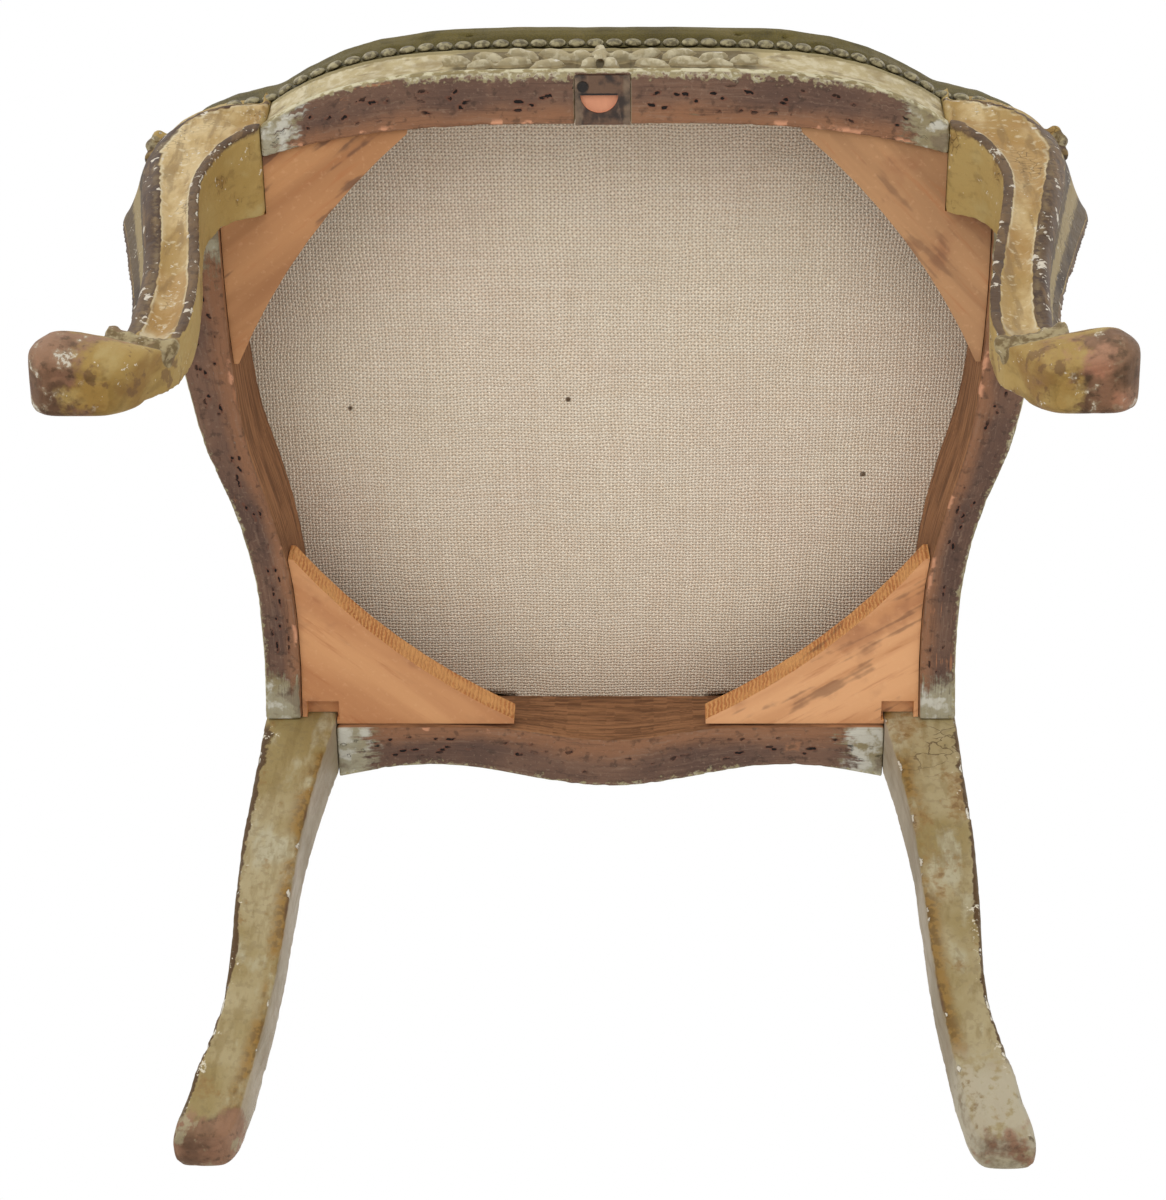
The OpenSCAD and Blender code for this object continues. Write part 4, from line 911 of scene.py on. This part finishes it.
# Rear legs: sabre legs that run up as the stiles of the back, each in one piece of wood, with
# paler paint, ochre stains and worn arrises.
pale = Finish("aged_pale_paint")
sharp, hollow, broken = map(pale.painted_on, ("sharp", "hollow", "broken"))
across, front_face, outer_side = map(pale.painted_on, ("across", "front_face", "outer_side"))
height = pale.coordinate("Z")
wide_cloud = pale.cloud(14, 5, shift=(5, 2, 0))
patchy = pale.cloud(44, 6, (1, 1, 0.4), (2, 0, 0))
brushed = pale.cloud(150, 4, (1, 1, 0.16))
fine_cloud = pale.cloud(230, 4)
dust = pale.cloud(520, 3, shift=(3, 1, 2))
flakes = pale.cloud(80, 6, shift=(1, 8, 0))
stain = pale.cloud(34, 6, (1, 1, 0.8), (3, 7, 0), 0.65)
inner_stain = front_face * across.rise(0.62, 0.92) * (patchy + wide_cloud.swing(0.3)).rise(0.40, 0.54)
from_edge = across + patchy.swing(0.40) + wide_cloud.swing(0.25) + fine_cloud.swing(0.15)
under_rail = (height - rail_low).rise(0.0, -0.01)
loose_chips = from_edge.rise(0.22, 0.10) * (dust * flakes).rise(0.34, 0.37)
side_coat = pale.layers((150, 138, 118),
    (wide_cloud.rise(0.40, 0.62), (170, 158, 140)),
    (brushed.rise(0.50, 0.66) * 0.35, (128, 112, 86)))
worn_side = (outer_side + patchy.swing(0.9) + fine_cloud.swing(0.3)).rise(0.45, 0.62)
rubbed = (sharp * 0.70 + patchy.swing(1.1)).rise(0.40, 0.58)
sideways = pale.coordinate("X")
bare_to = 0.004 + 0.014 * sideways.rise(0.1, -0.1)
pale_foot = ((0.060 - height).rise(0.0, 0.03) * sideways.rise(0.0, 0.1)
    * (patchy + fine_cloud).rise(0.80, 1.05))
foot = (bare_to + wide_cloud.swing(0.060) + patchy.swing(0.070) - height).rise(0.0, 0.008)
foot_wood = pale.layers((118, 88, 68),
    (patchy.rise(0.40, 0.60), (154, 118, 94)),
    (fine_cloud.rise(0.55, 0.70) * 0.6, (84, 64, 50)),
    (flakes.rise(0.54, 0.60) * 0.8, (168, 158, 128)))
tangle = pale.noise(pale.place(), 110, 3, out="Color")
bent = pale.scaled(tangle, (0.016, 0.016, 0.016), pale.place((1, 1, 1.7)))
crazing = pale.cells(bent, 60, feature="DISTANCE_TO_EDGE")
near_rail = (height - rail_low).rise(-0.060, -0.030) * under_rail
drying_crack = crazing.rise(0.045, 0.010) * near_rail * sideways.rise(0.1, 0.16) * patchy.rise(0.46, 0.54)
chips = (broken + sharp * 0.25 + dust.swing(0.9)).rise(0.47, 0.57)
coat = pale.layers((150, 132, 86),
    (wide_cloud.rise(0.38, 0.62), (174, 160, 124)),
    (patchy.rise(0.46, 0.34) * 0.7, (184, 178, 152)),
    (fine_cloud.rise(0.50, 0.62) * 0.35, (130, 114, 82)),
    (brushed.rise(0.50, 0.64) * 0.45, (132, 112, 68)),
    ((stain + fine_cloud.swing(0.35)).rise(0.52, 0.62) * 0.55, (148, 116, 68)),
    ((stain + fine_cloud.swing(0.45)).rise(0.62, 0.70) * 0.55, (118, 86, 54)),
    (inner_stain * 0.85, pale.mix(fine_cloud.rise(0.42, 0.58), (112, 82, 36), (146, 112, 54))),
    (front_face * from_edge.rise(0.075, 0.035) * under_rail, (84, 62, 36)),
    (front_face * loose_chips * under_rail, (214, 206, 184)),
    (front_face.rise(0.6, 0.2) * 0.8, side_coat),
    (worn_side * 0.9, pale.mix(fine_cloud, (70, 54, 32), (106, 84, 54))),
    # Painted shade in the hollows of the rear legs and the back rails.
    ((hollow + fine_cloud.swing(0.5)).rise(0.35, 0.75) * 0.7, (92, 74, 46)),
    (rubbed * 0.8, (98, 74, 54)),
    (pale_foot * 0.85, (188, 180, 158)),
    (foot * 0.9, foot_wood),
    (front_face * drying_crack * 0.8, (88, 68, 46)),
    (chips, (218, 212, 196)))
pale_finish = pale.surface(coat, 0.55 + 0.25 * fine_cloud,
    fine_cloud * 0.5 + patchy * 0.9 + brushed * 0.5 - 0.8 * chips, 0.0010,
    Specular_IOR_Level=0.25)

stile_voxel = 0.0016
for node, side, seed in [("rear_left_leg", -1, 97.0), ("rear_right_leg", 1, 112.0)]:
    leg = in_one_skin(node + "_wood", [copied(node)], stile_voxel)
    round_foot(leg, 0.036, 66)
    points, normals = aged(leg, seed, melt=5, chip=0.0015)
    carry(leg.data, across=across_of(points, normals[:, 1] < -0.7, 2, 0, side),
        front_face=unit((-normals[:, 1] - 0.35) / 0.3),
        outer_side=unit((normals[:, 0] * side - 0.3) / 0.4)
        * unit((rail_low + 0.02 - points[:, 2]) / 0.10))
    leg.data.materials.append(pale_finish)
    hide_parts(node)
    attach(leg, "root")

# Crest rail and lower back rail: moulded rails that close the frame of the back. The crest
# rises to a small carved flower.
def back_face_y(z):
    """Depth of the front face of the back at a height."""
    crest_depth = 0.028
    crest_round = 0.0027
    lean = (cad_high.y - crest_depth - rear_post_front) / (cad_high.z - crest_round - rail_high)
    return rear_post_front + lean * (z - rail_high)


crest_middle = cad_high.z - 0.0155
crest_petal_out = 0.0078
crest_voxel = 0.0014
crest_flower = [flattened_ball((0, back_face_y(crest_middle) + 0.0022, crest_middle),
    (0.0042, 0.0030, 0.0042))]
for k in range(5):
    angle = math.radians(90 + 72 * k)
    z = crest_middle + crest_petal_out * math.sin(angle)
    crest_flower.append(flattened_ball((crest_petal_out * math.cos(angle), back_face_y(z) + 0.0026, z),
        (0.0056, 0.0024, 0.0038), -angle))
crest_spray = [(0.020, 0.001, 0.009, 0.0036, 14), (0.030, -0.007, 0.008, 0.003, -30),
    (0.036, -0.001, 0.009, 0.003, 4), (0.048, -0.005, 0.009, 0.0026, 18)]
for side in (-1, 1):
    for reach, rise, length, width, turn in crest_spray:
        z = crest_middle + rise
        crest_flower.append(flattened_ball((side * reach, back_face_y(z) + 0.0026, z),
            (length, 0.0024, width), side * math.radians(turn)))
for node, carving, seed in [("crest_rail", crest_flower, 131.0), ("lower_back_rail", [], 140.0)]:
    rail = in_one_skin(node + "_wood", [copied(node), *carving], crest_voxel)
    points, normals = aged(rail, seed)
    carry(rail.data, across=np.zeros(len(points)), outer_side=np.zeros(len(points)),
        front_face=unit((-normals[:, 1] - 0.35) / 0.3))
    rail.data.materials.append(pale_finish)
    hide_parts(node)
    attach(rail, "root")

# Pegs: square oak pegs, split by hand, driven through the cheeks of the joints to lock the
# tenons and cut off flush.
oak = Finish("peg_oak")
peg_grain = oak.cloud(260, 4, (1, 1, 0.3))
peg_finish = oak.surface(oak.mix(peg_grain, (104, 76, 54), (146, 112, 82)), 0.7, peg_grain, 0.0003)
for node in ("seat_pegs", "back_pegs"):
    dress(node, peg_finish, 0.0004, 1)

# Webbing: woven jute straps, stretched across the seat and the back, nailed to the wood and
# laced over and under each other.
jute = Finish("jute_webbing")
straw = jute.cloud(90, 3)
twill = jute.node("TexWave", {"bands_direction": "DIAGONAL"},
    {"Vector": jute.place(), "Scale": 260.0, "Distortion": 0.6})
jute_skin = jute.mix(twill, (122, 102, 72), (172, 150, 112))
jute_finish = jute.surface(jute.mix(straw * 0.5, jute_skin, (104, 84, 56)), 0.9, twill, 0.0005)
for node in ("seat_webbing", "back_webbing"):
    dress(node, jute_finish, 0.0003, 1)

# Hessian: one sheet of plain jute weave, tacked over the tops of the rails under the webbing
# and stretched nearly flat. A smaller sheet lines the back.
thread_pitch = 0.00195


def weave_finish():
    cloth = Finish("hessian_weave")
    turns = math.pi / thread_pitch
    wobble = cloth.noise(cloth.place(), 18, 2, out="Color")
    sway = cloth.noise(cloth.place(), 130, 2, out="Color")
    bent = cloth.scaled(wobble, (0.006, 0.006, 0), cloth.place())
    bent = cloth.scaled(sway, (0.0015, 0.0015, 0), bent)
    x = cloth.coordinate("X", bent) * turns
    y = cloth.coordinate("Y", bent) * turns
    sin_x, sin_y = x.maths("SINE", x), y.maths("SINE", y)
    cos_x, cos_y = x.maths("COSINE", x), y.maths("COSINE", y)
    checks = sin_x * sin_y
    warp = (1 - cos_x * cos_x) + 0.55 * checks
    weft = (1 - cos_y * cos_y) - 0.55 * checks
    high = warp.maths("MAXIMUM", warp, weft)
    thick_x = cloth.cloud(1.0, 2, (420, 14, 1))
    thick_y = cloth.cloud(1.0, 2, (14, 420, 1))
    hole = (abs(cos_x) * abs(cos_y) + cloth.cloud(260, 2).swing(0.5)).rise(0.60, 0.90)
    spot = cloth.cells(cloth.place(), 22).rise(0.055, 0.035)
    base = cloth.layers((240, 222, 202),
        (cloth.cloud(9, 4).rise(0.35, 0.65), (244, 230, 208)),
        (thick_x.rise(0.35, 0.75) * 0.30, (214, 190, 160)),
        (thick_y.rise(0.35, 0.75) * 0.35, (255, 248, 232)),
        (cloth.cloud(900, 2).rise(0.35, 0.75) * 0.30, (206, 182, 154)),
        # Painted light and shade in the weave: the dips between the threads are darkened, and the crossings
        # are lightened and darkened by turns as their relief would be lit.
        (high.rise(0.95, 0.35) * 0.22, (176, 154, 128)),
        (checks.rise(0.0, 0.8) * 0.35, (255, 250, 236)),
        (checks.rise(0.0, -0.8) * 0.30, (198, 172, 150)),
        # Painted shade in the gaps between the threads.
        (hole * 0.52, (108, 92, 76)),
        (spot * cloth.cloud(14, 1).rise(0.54, 0.60), (96, 78, 60)))
    return cloth.surface(base, 0.92, high, 0.0007, 0.9, Specular_IOR_Level=0.2)


def netted_face(node, axis, up, step, ways):
    """The face of a solid that looks one way, cut into small squares."""
    net = bmesh.new()
    net.from_mesh(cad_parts[node].data)
    bmesh.ops.remove_doubles(net, verts=net.verts, dist=1e-6)
    net.normal_update()
    other = [f for f in net.faces if f.normal[axis] * up < 0.8]
    bmesh.ops.delete(net, geom=other, context="FACES")
    low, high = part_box(node)
    for way in ways:
        normal = Vector((0, 0, 0))
        normal[way] = 1
        for k in range(1, int((high[way] - low[way]) / step)):
            place = Vector(low)
            place[way] += k * step
            bmesh.ops.bisect_plane(net, geom=net.verts[:] + net.edges[:] + net.faces[:],
                plane_co=place, plane_no=normal)
    bmesh.ops.remove_doubles(net, verts=net.verts, dist=1e-5)
    return as_mesh(net, node)


def thicken(sheet, thick):
    """Gives a sheet its thickness, inwards from the face that shows."""
    depth = sheet.modifiers.new("thickness", "SOLIDIFY")
    depth.thickness = thick
    depth.offset = -1


hessian_finish = weave_finish()
hessian = in_scene("hessian_sheet", netted_face("bottom_hessian", 2, -1, 0.006, (0, 1)))
hessian_points = points_of(hessian.data)
clear_x = 0.17
clear_y = 0.145
clear_middle_y = -0.06
clear_fade = 0.03
ripple = 0.0009
clear_of_rails = (unit((clear_x - np.abs(hessian_points[:, 0])) / clear_fade)
    * unit((clear_y - np.abs(hessian_points[:, 1] - clear_middle_y)) / clear_fade))
hessian_points[:, 2] += ripple * clear_of_rails * bumps(hessian_points, 14, 5.0)
move_to(hessian.data, hessian_points)
hessian.data.shade_smooth()
thicken(hessian, 0.0010)
hessian.data.materials.append(hessian_finish)
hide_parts("bottom_hessian")
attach(hessian, "root")

# Seat: olive leather over hair stuffing, pulled down over the rails and nailed. The leather is
# one crowned form, blown up softly between the nails and the crown.
hide = Finish("olive_leather")
pores = hide.cells(hide.place(), 620, feature="DISTANCE_TO_EDGE")
wide_cloud = hide.cloud(10, 4)
patchy = hide.cloud(46, 5)
drawn_in = hide.painted_on("drawn_in")
skin = hide.layers((78, 68, 30),
    (wide_cloud.rise(0.36, 0.64), (104, 92, 46)),
    (patchy.rise(0.54, 0.68) * 0.5, (58, 50, 24)),
    (patchy.rise(0.46, 0.32) * 0.4, (126, 110, 64)),
    (drawn_in * 0.6, (52, 46, 24)),
    (pores.rise(0.10, 0.02) * 0.3, (48, 42, 22)))
leather_finish = hide.surface(skin, 0.55 + 0.16 * patchy, pores.rise(0.0, 0.14) + patchy * 0.8, 0.0003, 0.8,
    Specular_IOR_Level=0.18)


def heads_of(node):
    """Base, axis, radius and rise of each loose head in a node of nails."""
    heads = bmesh.new()
    heads.from_mesh(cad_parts[node].data)
    bmesh.ops.remove_doubles(heads, verts=heads.verts, dist=1e-6)
    found = []
    seen = set()
    for first in heads.verts:
        if first in seen:
            continue
        group = {first}
        fresh = [first]
        while fresh:
            for edge in fresh.pop().link_edges:
                for vert in edge.verts:
                    if vert not in group:
                        group.add(vert)
                        fresh.append(vert)
        seen |= group
        rings = np.array([v.co for v in group])
        centre = rings.mean(0)
        axis = np.linalg.svd(rings - centre, full_matrices=False)[2][2]
        lift = (rings - centre) @ axis
        radii = np.linalg.norm(rings - centre - np.outer(lift, axis), axis=1)
        if radii[lift > 0].max() > radii[lift < 0].max():
            axis, lift = -axis, -lift
        found.append((Vector(centre + axis * lift.min()), Vector(axis), radii.max(), np.ptp(lift)))
    heads.free()
    return found


def stuffed(name, cover, filling, nails, pinned):
    """A leather cover and its filling as one closed form with the facets melted.

    A coarse copy is smoothed and blown up as cloth, held where pinned() is 1, and the fine form
    follows it outwards. Round every nail the leather is drawn in."""
    coarse_net = 0.005
    fine_net = 0.0016
    most_swell = 0.003
    pucker_width = 0.0075
    coarse = in_one_skin(name + "_coarse", [copied(cover), copied(filling)], coarse_net)
    start = points_of(coarse.data)
    edges = edges_of(coarse.data)
    held = pinned(start)[:, None]
    points = start
    for _ in range(14):
        points = held * points + (1 - held) * smoothed(points, edges, 0.5)
    move_to(coarse.data, points)
    group = coarse.vertex_groups.new(name="held")
    for index in np.nonzero(held[:, 0] > 0)[0].tolist():
        group.add([index], float(held[index, 0]), "REPLACE")
    blown = coarse.modifiers.new("blown", "CLOTH")
    blown.settings.use_pressure = True
    blown.settings.uniform_pressure_force = 4
    blown.settings.effector_weights.gravity = 0
    blown.settings.vertex_group_mass = "held"
    for step in range(1, 21):
        bpy.context.scene.frame_set(step)
    shift = points_of(coarse.evaluated_get(bpy.context.evaluated_depsgraph_get()).data) - points
    coarse.modifiers.clear()
    bpy.context.scene.frame_set(1)
    outwards = normals_of(coarse.data)
    points = points + outwards * np.clip((shift * outwards).sum(1), 0, most_swell)[:, None]
    faces = [tuple(face.vertices) for face in coarse.data.polygons]
    tree = BVHTree.FromPolygons(start.tolist(), faces)
    shift = points - start
    bpy.data.objects.remove(coarse)
    fine = in_one_skin(name, [copied(cover), copied(filling)], fine_net)
    places = points_of(fine.data)
    corners = np.array([faces[tree.find_nearest(p)[2]] for p in places.tolist()])
    near = 1 / (((start[corners] - places[:, None]) ** 2).sum(2) + 1e-7)
    places = places + (shift[corners] * (near / near.sum(1)[:, None])[:, :, None]).sum(1)
    edges = edges_of(fine.data)
    for _ in range(4):
        places = smoothed(places, edges, 0.5)
    move_to(fine.data, places)
    normals = normals_of(fine.data)
    heads = KDTree(len(nails))
    for index, nail in enumerate(nails):
        heads.insert(nail[0], index)
    heads.balance()
    gap = np.array([heads.find(p)[2] for p in places.tolist()])
    pucker = np.exp(-(gap / pucker_width) ** 2)
    slack = 0.0006 * bumps(places, 22, 4.0) + 0.0003 * bumps(places, 70, 6.0)
    places += normals * (slack * unit(gap / 0.03) - 0.0007 * pucker)[:, None]
    move_to(fine.data, places)
    carry(fine.data, drawn_in=pucker)
    fine.data.shade_smooth()
    fine.data.materials.append(leather_finish)
    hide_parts(cover, filling)
    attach(fine, "root")


seat_nails = heads_of("seat_nails")
stuffed("seat_leather", "seat_cover", "seat_stuffing", seat_nails,
    lambda points: unit((rail_high + 0.004 - points[:, 2]) / 0.003))

# Dome nails: round brass-plated heads, gone dull and greenish, set close along every edge of
# the leather.
brass = Finish("dull_brass")
tarnish = brass.cloud(340, 3)
brass_skin = brass.mix(tarnish.rise(0.40, 0.62), (92, 82, 56), (150, 140, 106))
nail_finish = brass.surface(brass_skin, 0.42 + 0.25 * tarnish, tarnish, 0.0002, Metallic=0.45)


def domes(node, nails, seed):
    """A round head in the place of each plain head of a row of nails."""
    chance = random.Random(seed)
    made = bmesh.new()
    sides = 14
    profile = [(1.0, 0.0), (0.98, 0.30), (0.88, 0.58), (0.68, 0.82), (0.38, 0.97)]
    for base, axis, radius, rise in nails:
        tilt = axis + 0.05 * Vector((chance.uniform(-1, 1), chance.uniform(-1, 1), chance.uniform(-1, 1)))
        stand = Matrix.Translation(base) @ tilt.to_track_quat("Z", "Y").to_matrix().to_4x4()
        last = None
        for share, lift in profile:
            ring = [made.verts.new(stand @ Vector((radius * share * math.cos(t), radius * share * math.sin(t),
                rise * lift))) for t in (2 * math.pi * k / sides for k in range(sides))]
            if last is None:
                made.faces.new(ring[::-1])
            else:
                for k in range(sides):
                    made.faces.new((last[k], last[(k + 1) % sides], ring[(k + 1) % sides], ring[k]))
            last = ring
        top = made.verts.new(stand @ Vector((0, 0, rise)))
        for k in range(sides):
            made.faces.new((last[k], last[(k + 1) % sides], top))
    mesh = as_mesh(made, node + "_domes")
    mesh.shade_smooth()
    mesh.materials.append(nail_finish)
    piece = in_scene(node + "_domes", mesh)
    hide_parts(node)
    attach(piece, "root")


inside_nails = heads_of("inside_back_nails")
domes("seat_nails", seat_nails, 5)
domes("inside_back_nails", inside_nails, 6)
domes("outside_back_nails", heads_of("outside_back_nails"), 7)

# Inside of the back: a stuffed pad covered with the same leather, which is pulled over the hair
# and nailed into the rebate of its frame.
def in_rebate(points):
    face = np.array([back_face_y(z) for z in points[:, 2].tolist()])
    return unit((points[:, 1] - face + 0.004) / 0.003)


stuffed("back_leather", "inside_back_cover", "back_stuffing", inside_nails, in_rebate)

# Lining and outside of the back: a hessian sheet behind the stuffing, and a stretched leather
# panel nailed over the back of the frame.
def back_sheet(name, node, finish, thick, seed):
    sheet = in_scene(name, netted_face(node, 1, 1, 0.008, (0, 2)))
    points = points_of(sheet.data)
    middle = (points.min(0) + points.max(0)) / 2
    half = (points.max(0) - points.min(0)) / 2
    inside = unit(1 - np.hypot((points[:, 0] - middle[0]) / half[0],
        (points[:, 2] - middle[2]) / half[2]))
    points[:, 1] -= inside * (0.0015 + 0.0010 * bumps(points, 12, seed))
    move_to(sheet.data, points)
    sheet.data.shade_smooth()
    area = sum(face.area for face in sheet.data.polygons)
    rise = math.hypot(2 * half[1], 2 * half[2])
    carry(sheet.data, drawn_in=np.zeros(len(points)))
    thicken(sheet, thick)
    sheet.data.materials.append(finish)
    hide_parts(node)
    2 * half[0]
    min(area, 0.999 * 2 * half[0] * rise)
    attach(sheet, "root")


back_sheet("back_hessian_sheet", "back_hessian", hessian_finish, 0.0010, 8.0)
back_sheet("outside_back_leather", "outside_back_cover", leather_finish, 0.0016, 11.0)
